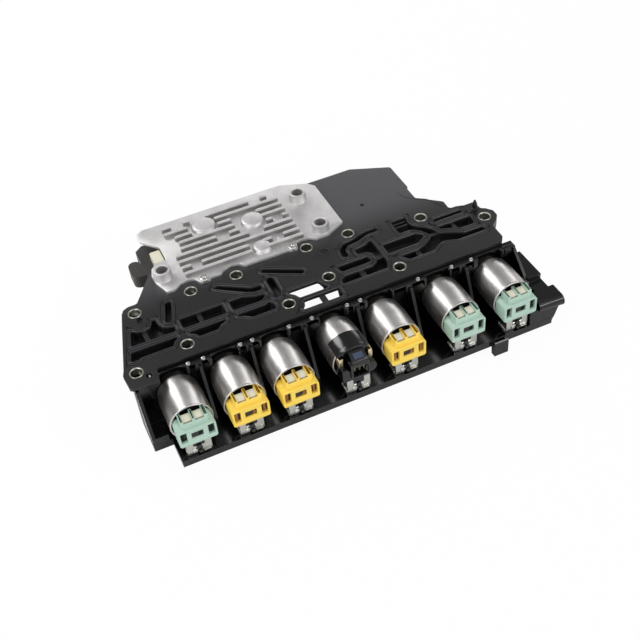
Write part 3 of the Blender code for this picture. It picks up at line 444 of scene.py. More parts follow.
cream_nylon = nylon("cream_nylon", "#d9d5bd", "#e4e0ca", 0.42, edge_mm=0.3)
print("plastics:", len(bpy.data.materials))

# %% [markdown]
# ## Metals
# A drawn steel can shows fine lines along the draw, so its noise is stretched along Y. The heat
# sink is a pressure die casting: grey, grainy and a little uneven where the melt met the mould.
# Bushings and screws are turned and plated, and the brackets are stamped from bright strip.

# %% Metal materials

METAL_CLOUD = 9 * MM    # size of the uneven patches


def metal(name, dark, light, roughness, grain_mm, stretch=(1, 1, 1), bump_mm=0.004, spread=0.08):
    """A metal whose grey and roughness follow noise, stretched along the tool's direction."""
    material, tree = new_material(name)
    place = add_node(tree, "TexCoord").outputs["Object"]
    drawn = add_node(tree, "Mapping", {"Vector": place}, Scale=stretch).outputs[0]
    grain = add_node(tree, "TexNoise", {"Vector": drawn}, Scale=1 / (grain_mm * MM), Detail=4.0)
    cloud = add_node(tree, "TexNoise", {"Vector": place}, Scale=1 / METAL_CLOUD, Detail=3.0)
    both = add_node(tree, "Math", {0: grain.outputs["Fac"], 1: cloud.outputs["Fac"]}, operation="ADD")
    even = add_node(tree, "MapRange", {"Value": both.outputs[0]}, From_Min=0.6, From_Max=1.4)
    tint = mix_colours(tree, even.outputs[0], dark, light)
    return finish_skin(material, tree, tint, grain, roughness, spread, bump_mm, 0.6, Metallic=1.0)


drawn_steel = metal("drawn_steel", "#bcb9b6", "#dad7d4", 0.34, 0.5, stretch=(1, 0.05, 1), spread=0.07)
cast_aluminium = metal("cast_aluminium", "#c8c6c5", "#e4e2e1", 0.5, 0.7, bump_mm=0.05, spread=0.1)
turned_zinc = metal("plated_bushing", "#9c9c90", "#c2c2b6", 0.36, 0.3, bump_mm=0.01)
# The fins' flanks: the cast aluminium made darker and rougher, the darker grey being painted shade on the
# faces between the fins.
painted_shade_flank = metal("painted_shade_flank", "#999796", "#b0aead", 0.58, 0.6, bump_mm=0.05, spread=0.08)
plated_screw = metal("plated_screw", "#d8d8d4", "#f2f2ee", 0.24, 0.4, bump_mm=0.004)
bright_strip = metal("bright_strip", "#b8b8b3", "#d8d8d2", 0.28, 0.4, stretch=(1, 1, 0.1), bump_mm=0.004)
# The sleeves' darker grey is painted shade for the recess under the plate's front edge.
shaded_sleeve_metal = metal("sleeve_alloy", "#6f6a62", "#98928a", 0.4, 0.4, bump_mm=0.01)
dark_contact = metal("dark_contact", "#161c19", "#262e2a", 0.5, 0.4, bump_mm=0.01)
pale_brass = metal("pale_brass", "#c9b284", "#eadfbf", 0.3, 0.4, bump_mm=0.01)
contact_brass = metal("contact_brass", "#8a5a34", "#b98450", 0.35, 0.4, bump_mm=0.01)
print("materials:", len(bpy.data.materials))

# %% [markdown]
# ## Solenoid cans
# Each solenoid's coil sits in a deep-drawn steel can. Its open rim is folded over into a small
# bead, and the closed end runs over a soft shoulder into the neck of the valve. A profile of
# radius against length says all of it, and it is turned about the solenoid's axis.

# %% Places and helpers of the solenoids

SOLENOIDS = [28.1, 64.8, 100.0, 142.6, 179.0, 225.0, 266.0]
AXIS_Z = -19.8
CAN_RADIUS = 14.8
CAN_FRONT = -26.2
CAN_BACK = 2.7


def arc(centre, radius, start, end, steps):
    """Points of a circle's arc between two angles in degrees."""
    angle = np.radians(np.linspace(start, end, steps + 1))[:, None]
    return (np.array(centre) + radius * np.hstack([np.cos(angle), np.sin(angle)])).tolist()


def at_axis(points, x, radius=0.0, steps=4):
    """An outline whose points are given from a solenoid's axis, rounded and moved there."""
    outline = rounded(points, radius, steps) if radius else loop(points)
    return outline + [x, AXIS_Z]


def axis_piece(name, profile, x, material, count=56):
    """A profile turned about a solenoid's axis."""
    return make_piece(name, turned(Shape(), profile, (x, AXIS_Z), count=count), material)


print("can:", 2 * CAN_RADIUS, "mm wide,", round(CAN_BACK - CAN_FRONT, 1), "mm long")

# %% Seven cans and necks


def can_profile():
    """Rim bead, side and a long soft taper to the back, then back inside at the sheet's thickness."""
    sheet = 1.0
    bead = arc((CAN_RADIUS - 0.5, CAN_FRONT + 0.7), 0.7, 180, 360, 6)
    t = np.linspace(0, 1, 9)
    taper = np.stack([CAN_RADIUS - 0.7 * t ** 2, CAN_BACK - 12.0 * (1 - t)], axis=1).tolist()
    inner = [(r - sheet, y) for r, y in taper[::-1]]
    mouth = CAN_RADIUS - 6.6
    outside = bead + [(CAN_RADIUS, CAN_FRONT + 1.6)] + taper + [(mouth, CAN_BACK)]
    return outside + [(mouth, CAN_BACK - sheet)] + inner[1:] + [(CAN_RADIUS - sheet, CAN_FRONT + 1.8)]


def collar_profile():
    """The can's last step in front of the tray's wall, with a small round at its back."""
    back = arc((12.9, 4.1), 1.0, 0, 90, 5)
    return [(8.2, 2.75), (14.05, 2.75)] + back + [(8.2, 5.1)]


def neck_profile():
    """The valve's neck in the tray's wall and its ported nose behind."""
    start, end, neck, nose, bore, port = 5.2, 8.0, 11.6, 7.6, 4.05, 6.4
    return [(bore, 3.2), (8.0, 3.2), (8.0, start), (neck, start), (neck, end), (nose, end),
            (nose, 13.4), (port, 13.4), (port, 16.4), (nose, 16.4), (nose, 21.0), (nose - 0.5, 21.5),
            (bore, 21.5)]


for number, x in enumerate(SOLENOIDS, 1):
    can = axis_piece(f"can_{number}", can_profile(), x, drawn_steel, 72)
    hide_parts(f"solenoid_{number}_can")
    collar = axis_piece(f"collar_{number}", collar_profile(), x, drawn_steel)
    # The neck takes the darker metal as painted shade under the plate's edge.
    neck = axis_piece(f"sleeve_{number}", neck_profile(), x, shaded_sleeve_metal)
    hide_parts(f"solenoid_{number}_nose")
print("cans at X", SOLENOIDS)

# %% [markdown]
# ## Solenoid connectors
# A connector is one moulding with the coil's bobbin: a block in front of the rim with three
# windows onto its contacts, and on top a raised bar with three ribs that frame two open cells.
# The face is drawn flat with its windows as holes, and walls run back from each outline.

# %% Connector faces with their windows

CONNECTOR_FACE = 37.8
# Left, bottom, right and top of each window from the axis, and its depth
FACE_WINDOWS = [(-11.4, -4.3, -7.2, 4.6, 4.6), (-4.2, -2.6, 3.8, 2.6, 5.0), (7.2, -4.3, 11.4, 4.6, 4.6)]


def faced_block(shape, outline, holes, front, back):
    """A block whose front face has pockets: holes are (outline, floor) pairs."""
    radius, mouth = 0.5, 0.25
    wall(shape, outline, edge_profile(front, back, radius), "front")
    lid(shape, outline, back, "front")
    lid(shape, grow(outline, -radius), front, "front", [grow(hole, mouth) for hole, _ in holes])
    for hole, floor in holes:
        pocket(shape, hole, front, floor, mouth, "front")


def bobbin(number, x, front):
    """The dark coil former that fills the can behind its mouth, hollow for the armature."""
    outer, bore, back, end = 13.4, 5.55, 0.6, -18.0
    profile = [(0.0, front), (outer - 0.6, front), (outer, front + 0.6), (outer, back), (bore, back),
               (bore, end), (0.0, end)]
    shape = turned(Shape(), profile, (x, AXIS_Z), count=40, closed=False)
    make_piece(f"coil_{number}", shape, coil_nylon)


print("connectors reach", round(CONNECTOR_FACE + CAN_FRONT, 1), "mm past the can's rim")

# %% A green or yellow connector


def build_connector(number, x, material):
    """Block, windows, raised bar and ribs of a green or yellow connector."""
    shape = Shape()
    rim, side, low, high = 25.0, 12.9, -8.0, 6.4
    outline = [(1.0 - side, low), (side - 1.0, low), (side, low + 1.0), (side, high - 2.0),
               (side - 2.4, high), (2.4 - side, high), (-side, high - 2.0), (-side, low + 1.0)]
    holes = [(rectangle(x + start, AXIS_Z + below, x + end, AXIS_Z + above, 0.5), CONNECTOR_FACE - depth)
             for start, below, end, above, depth in FACE_WINDOWS]
    faced_block(shape, at_axis(outline, x, 0.8, 3), holes, CONNECTOR_FACE, rim)
    high += AXIS_Z
    block(shape, rectangle(x + 8.6, -34.0, x + 10.7, -26.0, 0.5), high - 0.6, high + 1.8, 0.6, draft=0.3)
    bar = [(x - 8.9, -35.2), (x + 8.9, -35.2), (x + 8.4, -31.6), (x - 8.4, -31.6)]
    block(shape, rounded(bar, 0.5), high - 1.0, AXIS_Z + 10.0, 0.6, draft=0.5)
    for start, end in ((-8.9, -7.0), (-1.0, 0.9), (6.8, 9.6)):
        rib = rectangle(x + start, -34.9, x + end, -25.4, 0.3)
        block(shape, rib, high - 1.0, AXIS_Z + 12.0, 0.4)
    shelf = rectangle(x - 7.4, -32.0, x + 7.4, -26.2)
    block(shape, shelf, high - 1.0, AXIS_Z + 8.4, 0.2)
    piece = make_piece(f"connector_{number}", shape, material)
    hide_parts(f"solenoid_{number}_connector")
    bobbin(number, x, -23.6)


print("windows in each face:", len(FACE_WINDOWS))

# %% Contacts and tabs, and the six connectors


def build_contacts(number, x, kind):
    """Folded strips in the windows, dark floors behind them as painted shade in the windows' depth, and
    pale tabs in the two cells on top.
    """
    shape = Shape()
    for start, end in ((-10.9, -9.0), (8.4, 10.1)):
        strip = at_axis([(start, -3.6), (end, -2.9), (end, 3.4), (start, 4.0)], x, 0.3)
        block(shape, strip, 33.0, 36.9, 0.3, "front")
    hook = at_axis([(0.6, -2.0), (3.0, -1.9), (3.2, 0.8), (1.9, 1.9), (1.2, 0.2)], x, 0.3)
    block(shape, hook, 32.6, 37.3, 0.3, "front")
    metal_of_kind = contact_brass if kind == "yellow" else dark_contact
    make_piece(f"contacts_{number}", shape, metal_of_kind)
    # Dark blocks at the windows' back: painted shade inside the windows.
    dark = Shape()
    for (start, below, end, above, _), front in zip(FACE_WINDOWS, (35.4, 36.8, 35.4)):
        floor = rectangle(start + 0.2, below + 0.2, end - 0.2, above - 0.2, 0.3) + [x, AXIS_Z]
        block(dark, floor, 32.9, front, 0.1, "front")
    make_piece(f"window_shade_floor_{number}", dark, coil_nylon)
    tabs = Shape()
    for start, end in ((-6.9, -1.1), (1.0, 6.7)):
        tab = [(-33.4, 8.6), (-27.4, 8.6), (-27.4, 10.8), (-28.2, 11.0), (-33.0, 10.4), (-33.4, 10.1)]
        block(tabs, at_axis(tab, 0), x + start, x + end, 0.2, "side")
    make_piece(f"tabs_{number}", tabs, cream_nylon)


FINISHES = {"green": green_nylon, "yellow": yellow_nylon}
KINDS = ["green", "yellow", "yellow", "black", "yellow", "green", "green"]
for number, (x, kind) in enumerate(zip(SOLENOIDS, KINDS), 1):
    if kind in FINISHES:
        build_connector(number, x, FINISHES[kind])
        build_contacts(number, x, kind)
print("connectors:", KINDS)

# %% [markdown]
# ## The black solenoid
# The fourth solenoid is a different make: a hood runs back over the can's front half, a brass
# lug folds down on each side, and its square socket stands between a stepped block and a round
# lobe. The hood is a sheet carried round the can's axis.

# %% Hood, socket and lugs


def curved_plate(shape, x, inner, outer, angles, start, end):
    """A shell between two radii and two angles, from start to end along Y."""
    ring = arc((0, 0), outer, *angles, 16) + arc((0, 0), inner, *angles, 16)[::-1]
    return block(shape, at_axis(ring, x), -end, -start, 0.3, "front")


def build_black_connector(x):
    """Hood, bridge, socket, stepped block, lobe and foot, with the seal, lugs and pins."""
    shape = Shape()
    curved_plate(shape, x, 15.2, 16.4, (50, 140), -29.6, -14.5)
    curved_plate(shape, x, 12.8, 16.4, (54, 128), -30.2, -26.8)
    bridge = [(-37.4, 6.0), (-26.6, 6.0), (-26.6, 13.4), (-30.4, 13.2), (-37.0, 9.4), (-37.4, 8.8)]
    block(shape, at_axis(bridge, 0), x - 4.9, x + 6.4, 0.5, "side")
    back = 26.5
    frame_outline = at_axis([(-6.6, -5.4), (7.4, -5.4), (7.4, 8.0), (-6.6, 8.0)], x, 1.0)
    socket = rectangle(x - 4.9, AXIS_Z - 3.9, x + 5.9, AXIS_Z + 4.4, 0.6)
    faced_block(shape, frame_outline, [(socket, 32.0)], CONNECTOR_FACE, back)
    stepped = at_axis([(-12.4, -7.6), (-6.0, -7.6), (-6.0, 0.8), (-8.4, 3.4), (-12.4, 3.4)], x, 0.7)
    block(shape, stepped, back, 36.4, 0.5, "front")
    block(shape, circle((x + 8.4, AXIS_Z - 0.6), 4.4, 28), back, 37.0, 0.6, "front")
    foot = at_axis([(-9.0, -8.0), (8.4, -8.0), (7.4, -4.6), (-9.0, -4.6)], x, 0.6)
    block(shape, foot, back, 36.0, 0.5, "front")
    bobbin(4, x, -24.0)
    slate = Shape()
    step = at_axis([(-35.6, 8.9), (-32.2, 8.9), (-32.2, 12.6), (-35.6, 10.6)], 0)
    block(slate, step, x - 2.6, x + 4.2, 0.25, "side")
    make_piece("terminal_seal_4", slate, slate_nylon)
    piece = make_piece("connector_4", shape, black_nylon)
    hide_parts("solenoid_4_connector")
    lugs = Shape()
    left_lug = rectangle(x - 12.4, -31.4, x - 9.0, -26.6, 0.4)
    block(lugs, left_lug, AXIS_Z + 3.3, AXIS_Z + 9.6, 0.5)
    right_lug = rectangle(x + 9.2, -31.0, x + 12.2, -27.0, 0.4)
    block(lugs, right_lug, AXIS_Z + 3.0, AXIS_Z + 9.2, 0.5)
    for start in (-3.6, 0.2, 3.4):
        pin = rectangle(x + start, AXIS_Z - 1.4, x + start + 1.3, AXIS_Z + 1.8, 0.2)
        block(lugs, pin, 31.8, 35.4, 0.25, "front")
    make_piece("lugs_4", lugs, pale_brass)


build_black_connector(SOLENOIDS[3])
print("black connector at X", SOLENOIDS[3])

# %% [markdown]
# ## Brackets
# Under each connector a stamped strip stands on the tray's rail. It is bright, folded once at its
# foot, and its upright has a deep notch above and a small one below, with a dark latch between.

# %% Stamped brackets

BRACKET_FACE = 35.2    # towards -Y, as is every height in the plane "front"
BRACKET_SHEET = 1.1
BRACKET_LOW, BRACKET_HIGH = -40.4, -28.1


def build_bracket(number, x):
    """A stamped upright with two notches, its feet, and the black latch between the notches."""
    shape = Shape()
    left, right, low, high = -9.2, 8.0, BRACKET_LOW, BRACKET_HIGH
    face, back = BRACKET_FACE, BRACKET_FACE - BRACKET_SHEET
    upright = rounded([(left, low), (-2.6, low), (-2.2, low + 2.4), (1.0, low + 2.4), (1.4, low),
                       (right, low), (right, high), (3.6, high), (3.2, high - 5.6), (-4.2, high - 5.6),
                       (-4.6, high), (left, high)], 0.45, 3) + [x, 0]
    edge = 0.25
    wall(shape, upright, [(edge, face), (0.0, face - edge), (0.0, back + edge), (edge, back)], "front")
    for height in (face, back):
        lid(shape, grow(upright, -edge), height, "front")
    for start, end in ((left, -3.4), (1.8, right)):
        block(shape, rectangle(x + start, -34.6, x + end, -24.0, 0.5), low, low + BRACKET_SHEET, 0.3)
    tab = rounded([(-5.4, low + 2.2), (-2.8, low + 2.6), (-2.2, low + 4.6), (-3.4, low + 5.8),
                   (-5.4, low + 4.4)], 0.4) + [x, 0]
    block(shape, tab, 35.0, 36.2, 0.35, "front")
    block(shape, rectangle(x + 1.9, low + 0.9, x + 6.6, low + 2.2, 0.3), 35.0, 36.5, 0.35, "front")
    piece = make_piece(f"bracket_{number}", shape, bright_strip)
    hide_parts(f"solenoid_{number}_bracket")
    latch = Shape()
    cover = rounded([(-4.0, high - 5.2), (3.0, high - 5.2), (3.2, high), (-4.2, high)], 0.5) + [x, 0]
    block(latch, cover, 30.0, 34.9, 0.5, "front")
    hook = rounded([(-1.9, low + 1.2), (0.9, low + 1.2), (1.6, low + 4.4), (0.8, high - 4.6),
                    (-2.2, high - 4.6), (-2.7, low + 4.4)], 0.6) + [x, 0]
    block(latch, hook, 31.0, 36.0, 0.5, "front")
    block(latch, circle((x - 0.4, low + 2.4), 1.5, 20), 35.0, 37.0, 0.4, "front")
    make_piece(f"latch_{number}", latch, black_nylon)


for number, x in enumerate(SOLENOIDS, 1):
    build_bracket(number, x)
print("brackets:", len(SOLENOIDS), "of", BRACKET_SHEET, "mm sheet")

# %% [markdown]
# ## Bushings
# Each bolt hole is lined with a turned steel bushing, so that the bolt clamps metal and not
# plastic. Its upper edge has a chamfer inside and a fine round outside, which is the bright ring
# that shows from above. A black sleeve of the plate goes on below it.

# %% Twelve bushings

BUSHINGS = [(21.6, 68.0), (6.4, 13.0), (44.7, 22.2), (63.7, 70.8), (98.1, 71.1), (119.7, 25.3),
            (153.9, 73.9), (155.2, 37.4), (187.2, 73.6), (203.5, 22.6), (242.1, 63.8), (283.4, 41.7)]
BUSHING_PROFILE = [(3.8, -5.5), (4.9, -5.5), (4.9, -0.05), (4.7, 0.2), (4.3, 0.2), (3.85, -0.25)]
SLEEVE_PROFILE = [(3.78, -9.5), (4.8, -9.5), (4.8, -5.6), (3.78, -5.6)]

for number, centre in enumerate(BUSHINGS, 1):
    ring = turned(Shape(), BUSHING_PROFILE, centre, "z", 48)
    bushing = make_piece(f"bushing_{number:02d}", ring, turned_zinc)
    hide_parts(f"bolt_bushing_{number:02d}")
    sleeve = turned(Shape(), SLEEVE_PROFILE, centre, "z", 40)
    make_piece(f"bolt_sleeve_{number:02d}", sleeve, tray_nylon)
print("bushings:", len(BUSHINGS))

# %% [markdown]
# ## Channels and their gasket
# Every channel is ringed by two thin moulded rims with a black silicone bead between them. Each
# of the three is a small section carried round the channel's outline. Where two channels come
# close, the strip that lies nearer to the other channel sinks out of sight, so that the rings
# meet as one moulding.

# %% Channel outlines

CHAMBERS = {
    "front_left": [(5.9, 23.6), (8.3, 32.3), (40.8, 32.3), (40.4, 30.0), (37.5, 28.0), (35.8, 24.6),
        (13.7, 24.6), (11.6, 23.4)],
    "rear_left": [(10.0, 37.4), (14.0, 52.6), (17.0, 49.4), (22.3, 47.8), (26.9, 49.2), (29.0, 52.5),
        (30.0, 55.5), (32.2, 55.5), (32.8, 49.5), (34.8, 45.4), (38.5, 43.6), (42.2, 42.4),
        (42.2, 37.4)],
    "rear_second": [(47.3, 37.4), (47.3, 47.4), (78.6, 47.4), (78.6, 37.4)],
    "front_second": [(49.0, 32.3), (76.0, 32.3), (75.0, 30.0), (70.5, 28.2), (67.3, 25.1), (54.6, 25.1),
        (53.2, 28.0), (50.0, 30.2)],
    "rear_third": [(83.7, 37.4), (83.7, 47.4), (93.5, 47.4), (102.0, 43.6), (108.6, 42.9),
        (108.4, 41.2), (104.6, 37.4)],
    "front_third": [(84.3, 32.3), (104.6, 32.3), (108.3, 34.0), (110.1, 32.0), (111.0, 29.0),
        (109.9, 25.1), (93.0, 25.1), (88.5, 28.7), (84.0, 30.5)],
    "slope": [(78.8, 64.5), (79.8, 66.6), (82.8, 66.6), (102.5, 53.2), (109.4, 52.8), (109.4, 48.0),
        (103.0, 48.0), (97.3, 50.8)],
    "stem": [(114.8, 54.5), (116.4, 57.2), (118.8, 57.2), (120.1, 54.5), (120.0, 40.5), (117.6, 35.2),
        (114.8, 34.6), (112.7, 36.0), (114.7, 41.0)],
    "middle": [(165.8, 37.1), (163.9, 43.5), (188.2, 43.5), (189.2, 40.5), (187.8, 37.1)],
    "corner": [(161.0, 25.3), (162.3, 30.2), (165.8, 32.2), (187.0, 32.2), (191.3, 34.6), (193.2, 38.0),
        (193.0, 44.5), (190.4, 47.4), (183.4, 49.0), (183.4, 54.3), (188.0, 54.8), (194.0, 56.4),
        (198.4, 59.0), (198.6, 32.0), (195.2, 25.3)],
    "arrow": [(203.3, 38.8), (203.3, 49.3), (230.0, 49.3), (234.3, 45.4), (233.5, 43.4), (226.5, 38.8)],
    "ladder": [(220.1, 54.7), (220.1, 69.6), (232.4, 69.6), (231.3, 64.5), (232.0, 59.6), (235.3, 55.2),
        (240.3, 51.3), (242.9, 48.0), (245.6, 41.2), (256.0, 36.2), (261.5, 32.8), (275.5, 32.8),
        (277.6, 30.2), (276.6, 28.3), (253.8, 28.3), (248.8, 30.3), (243.7, 31.6), (239.0, 30.4),
        (232.6, 26.0), (213.2, 26.0), (211.0, 29.4), (208.7, 32.3), (223.5, 32.3), (230.0, 34.6),
        (237.6, 39.6), (238.6, 43.0), (235.2, 49.4), (230.5, 53.4), (228.0, 54.7)],
    "rear_right": [(246.9, 54.0), (249.4, 57.3), (272.0, 57.3), (272.0, 54.0)],
    "right": [(247.8, 45.0), (248.3, 47.8), (274.4, 47.8), (273.8, 38.6), (262.3, 38.6), (256.5, 41.6)],
}
WINDOWS = {
    "rear_window": [(123.8, 37.0), (146.2, 37.0), (150.6, 28.4), (150.0, 27.2), (129.0, 27.2),
        (127.2, 31.0), (123.4, 35.0)],
    "front_window": [(125.4, 15.0), (129.6, 20.6), (130.2, 23.6), (156.8, 23.6), (156.8, 15.0)],
}
# Centre line and half width of each narrow channel
SLOTS = [([(45.3, 66.2), (40.4, 49.6)], 2.2), ([(117.0, 65.2), (140.3, 51.7)], 2.2),
         ([(175.0, 52.0), (175.7, 58.6), (180.0, 62.5), (188.0, 63.5), (195.0, 66.3), (200.0, 67.4),
           (206.4, 67.4)], 2.1)]
channel_outlines = [rounded(points, 1.4, 5) for points in CHAMBERS.values()]
channel_outlines += [rounded(points, 1.4, 5) for points in WINDOWS.values()]
channel_outlines += [stroke(path, half_width, 12) for path, half_width in SLOTS]
print("channels:", len(channel_outlines))

# %% The gasket's section carried round them


def distance_to(outlines, points):
    """The least distance from each point to any side of any outline, and 0 inside one."""
    best = np.full(len(points), 1e9)
    for outline in outlines:
        a, b = outline, np.roll(outline, -1, axis=0)
        side = b - a
        from_a = points[:, None] - a[None]
        t = np.clip(np.sum(from_a * side, -1) / (np.sum(side * side, -1) + 1e-12), 0, 1)
        gap = np.linalg.norm(from_a - t[..., None] * side, axis=-1).min(axis=1)
        crosses = ((a[:, 1] > points[:, 1:]) != (b[:, 1] > points[:, 1:]))
        rise = np.where(side[:, 1] == 0, 1e-9, side[:, 1])
        x_at = a[:, 0] + (points[:, 1:] - a[:, 1]) * side[:, 0] / rise
        inside = (np.sum(crosses & (points[:, :1] < x_at), axis=1) % 2) == 1
        best = np.minimum(best, np.where(inside, 0, gap))
    return best


# Distance from the channel's edge against height over the gasket face
INNER_RIM = [(0.2, -0.75), (0.24, 0.12), (0.4, 0.32), (0.62, 0.32), (0.8, 0.12), (0.86, -0.75)]
BEAD = [(0.86, -0.75), (0.92, -0.3), (1.12, 0.02), (1.42, 0.14), (1.72, 0.02), (1.92, -0.3), (1.98, -0.75)]
OUTER_RIM = [(1.98, -0.75), (2.04, 0.12), (2.2, 0.32), (2.42, 0.32), (2.58, 0.12), (2.64, -0.75)]

RING_STEP = 0.9      # spacing of the section's copies along the outline
RING_OVERLAP = 0.12  # how far a strip may lean over before it counts as the other channel's
SUNK_HEIGHT = -1.6


def gasket_ring(shape, outline, others, section):
    """A section along the outline's normals, sunk where another channel is nearer."""
    path = evenly(outline, RING_STEP)
    normal = outward(unit(path - np.roll(path, 1, axis=0)) + unit(np.roll(path, -1, axis=0) - path))
    offset = np.array([o for o, _ in section])
    height = np.array([h for _, h in section])
    spot = path[None] + normal[None] * offset[:, None, None]
    nearest = distance_to([outline] + others, spot.reshape(-1, 2)).reshape(spot.shape[:2])
    sunk = nearest < offset[:, None] - RING_OVERLAP
    z = np.where(sunk, SUNK_HEIGHT, height[:, None])
    return shape.add_grid(np.concatenate([spot, z[..., None]], axis=-1), wrap_columns=True)


bead, rims = Shape(), Shape()
for number, outline in enumerate(channel_outlines):
    centre, reach = outline.mean(axis=0), np.ptp(outline, axis=0).max() / 2 + 12
    close = [other for k, other in enumerate(channel_outlines)
             if k != number and np.linalg.norm(other - centre, axis=1).min() < reach]
    gasket_ring(bead, outline, close, BEAD)
    gasket_ring(rims, outline, close, INNER_RIM)
    gasket_ring(rims, outline, close, OUTER_RIM)
gasket = make_piece("gasket_bead", bead, bead_rubber, flip=False)
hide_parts("channel_gasket")
# The rims' lighter grey is a painted highlight.
make_piece("channel_rims", rims, rim_highlight_nylon, flip=False)
print("gasket faces:", len(gasket.data.polygons))

# %% [markdown]
# ## Heat sink
# The casting is a plate with a raised field of fins. Each fin is drafted so that it leaves the
# mould, with a rounded top edge, so each is the same profile carried round its own outline. Round
# bosses take the screws that hold the module down, and low round pads, ejector marks and a faint
# turned ring break the field where the casting meets its neighbours and its mould.

# %% Places on the casting

SINK_OUTLINE = [(48.0, 75.0), (53.6, 75.0), (56.6, 76.8), (60.0, 79.4), (64.6, 80.3), (69.4, 79.0),
                (72.6, 73.0), (79.8, 73.0), (81.0, 75.0), (88.8, 75.0), (91.6, 78.0), (97.8, 80.3),
                (103.6, 78.6), (106.8, 75.0), (140.4, 75.0), (141.2, 73.8), (147.6, 73.8), (149.2, 80.4),
                (153.0, 81.4), (159.4, 80.4), (163.2, 77.0), (174.0, 77.4), (180.0, 80.6), (188.6, 84.6),
                (188.6, 136.0), (184.0, 141.6), (164.0, 150.2), (52.0, 150.4), (47.2, 147.0),
                (46.9, 138.0), (58.0, 124.6), (58.0, 109.0), (50.0, 108.6), (45.6, 104.0), (43.4, 97.0),
                (43.8, 88.0)]
SINK_BOSSES = [(50.7, 91.7), (170.1, 126.4), (170.7, 85.1)]
# Start and end in X of each row's fins, the front row first
FIN_ROWS = [[(65.1, 116.5), (127.3, 156.0)], [(65.1, 72.0), (79.9, 116.5), (127.3, 134.3), (143.2, 156.0)],
            [(65.1, 156.0)], [(65.1, 121.4), (133.3, 156.0)],
            [(71.0, 98.7), (108.6, 116.5), (138.2, 143.2), (151.1, 156.0)],
            [(72.0, 115.5), (137.2, 156.0)], [(71.0, 83.9), (104.6, 115.5), (135.2, 156.0)],
            [(65.1, 82.9), (104.6, 156.0)], [(65.1, 72.0), (81.9, 86.8), (99.7, 134.3), (144.1, 149.1)]]
FIN_Y = 82.0
FIN_PITCH = 6.99
FIN_WIDTH = 3.1
BOSS_BORE = 4.1
SINK_BASE = 0.3
SINK_TOP = 2.5
FIN_TOP = 6.0
SCREWS = [(76.2, 76.0), (144.6, 77.0)]
# Centre and radius of each pad and ejector mark
PADS = [(94.9, 130.4, 9.4), (129.4, 118.6, 9.0), (124.6, 86.0, 7.0)]
EJECTORS = [(147.5, 113.1, 2.8), (141.5, 91.4, 2.8), (106.4, 107.4, 3.2), (84.0, 97.0, 2.4)]
TURNED_RING = (179.2, 105.3)
print("fins:", sum(len(row) for row in FIN_ROWS), "in", len(FIN_ROWS), "rows")

# %% The casting


def round_marks():
    """Each boss, ejector mark, pad and ring as its profile, centre and count of sides."""
    top = SINK_TOP
    boss = [(6.9, top), (6.6, top + 0.4), (6.35, 8.9), (6.15, 9.35), (5.8, 9.5), (4.6, 9.5), (4.15, 9.1),
            (BOSS_BORE, SINK_BASE)]
    marks = [(boss, centre, 40) for centre in SINK_BOSSES]
    for x, y, radius in EJECTORS:
        marks.append(([(radius + 0.4, top - 0.1), (radius, top + 0.2), (radius - 0.3, top + 0.3),
                       (radius * 0.5, top + 0.36), (0.0, top + 0.36)], (x, y), 28))
    for x, y, radius in PADS:
        marks.append(([(radius + 0.3, top - 0.1), (radius, top + 0.4), (radius - 0.6, 4.9),
                       (radius - 1.3, 5.5), (radius - 2.6, 5.8), (0.0, 5.9)], (x, y), 44))
    ring = [(8.9, top - 0.05), (8.6, top + 0.14), (8.2, top + 0.14), (7.9, top - 0.05)]
    return marks + [(ring, TURNED_RING, 48)]


def build_heat_sink():
    """Plate, round marks and drafted fins, whose flanks get a darker, rougher copy of the metal; their
    darker grey is painted shade.
    """
    shape, flanks = Shape(), Shape()
    outline = rounded(SINK_OUTLINE, 1.6, 4)
    edge = [(0.5, SINK_TOP), (0.16, SINK_TOP - 0.14), (0.0, SINK_TOP - 0.5), (0.0, SINK_BASE)]
    wall(shape, outline, edge)
    lid(shape, grow(outline, -0.5), SINK_TOP, holes=[circle(c, 6.9, 40) for c in SINK_BOSSES])
    lid(shape, outline, SINK_BASE, holes=[circle(c, BOSS_BORE, 40) for c in SINK_BOSSES])
    for profile, centre, count in round_marks():
        turned(shape, profile, centre, "z", count, closed=False)
    for row, runs in enumerate(FIN_ROWS):
        y = FIN_Y + row * FIN_PITCH
        for start, end in runs:
            fin = rectangle(start, y, end, y + FIN_WIDTH, 0.5)
            wall(flanks, fin, [(-0.35, SINK_TOP - 0.1), (-0.1, SINK_TOP + 0.2), (0.1, FIN_TOP - 0.2)])
            wall(shape, fin, [(0.1, FIN_TOP - 0.2), (0.17, FIN_TOP - 0.06), (0.3, FIN_TOP)])
            lid(shape, grow(fin, -0.3), FIN_TOP)
    make_piece("fin_flanks", flanks, painted_shade_flank, flip=False)
    piece = make_piece("finned_casting", shape, cast_aluminium)
    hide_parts("heat_sink")


build_heat_sink()
print("marks turned on it:", len(round_marks()))

# %% Its two screws

SCREW_PROFILE = [(0.0, -2.5), (1.5, -2.5), (1.5, 1.3), (3.4, 1.3), (3.4, 2.6), (3.0, 3.2), (2.2, 3.5),
                 (1.4, 3.5), (1.2, 2.6), (0.0, 2.6)]

for number, centre in enumerate(SCREWS, 1):
    pan = turned(Shape(), SCREW_PROFILE, centre, "z", 32, closed=False)
    screw = make_piece(f"pan_screw_{number}", pan, plated_screw)
    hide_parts(f"sink_screw_{number}")
print("screws at", SCREWS)

# %% [markdown]
# ## Clips, studs and small things on the deck
# Along the tray's wall, short clip blocks hold the plate and bright pressed studs show beside
# them. The rail's end curls over. The deck has a shallow dimple, a small ring, a pointed peg and
# near its ear a pin, and a fine raised line runs along its edge.

# %% Clips and studs

# Start and end in X of each clip, then each stud's place
CLIPS = [(37.8, 54.0), (73.7, 89.8), (110.0, 133.4), (153.2, 168.0), (188.0, 214.6), (233.3, 253.8),
         (275.6, 286.2)]
STUDS = [39.6, 50.2, 76.3, 85.0, 111.6, 128.4, 154.8, 164.8, 209.4, 235.9, 251.6]


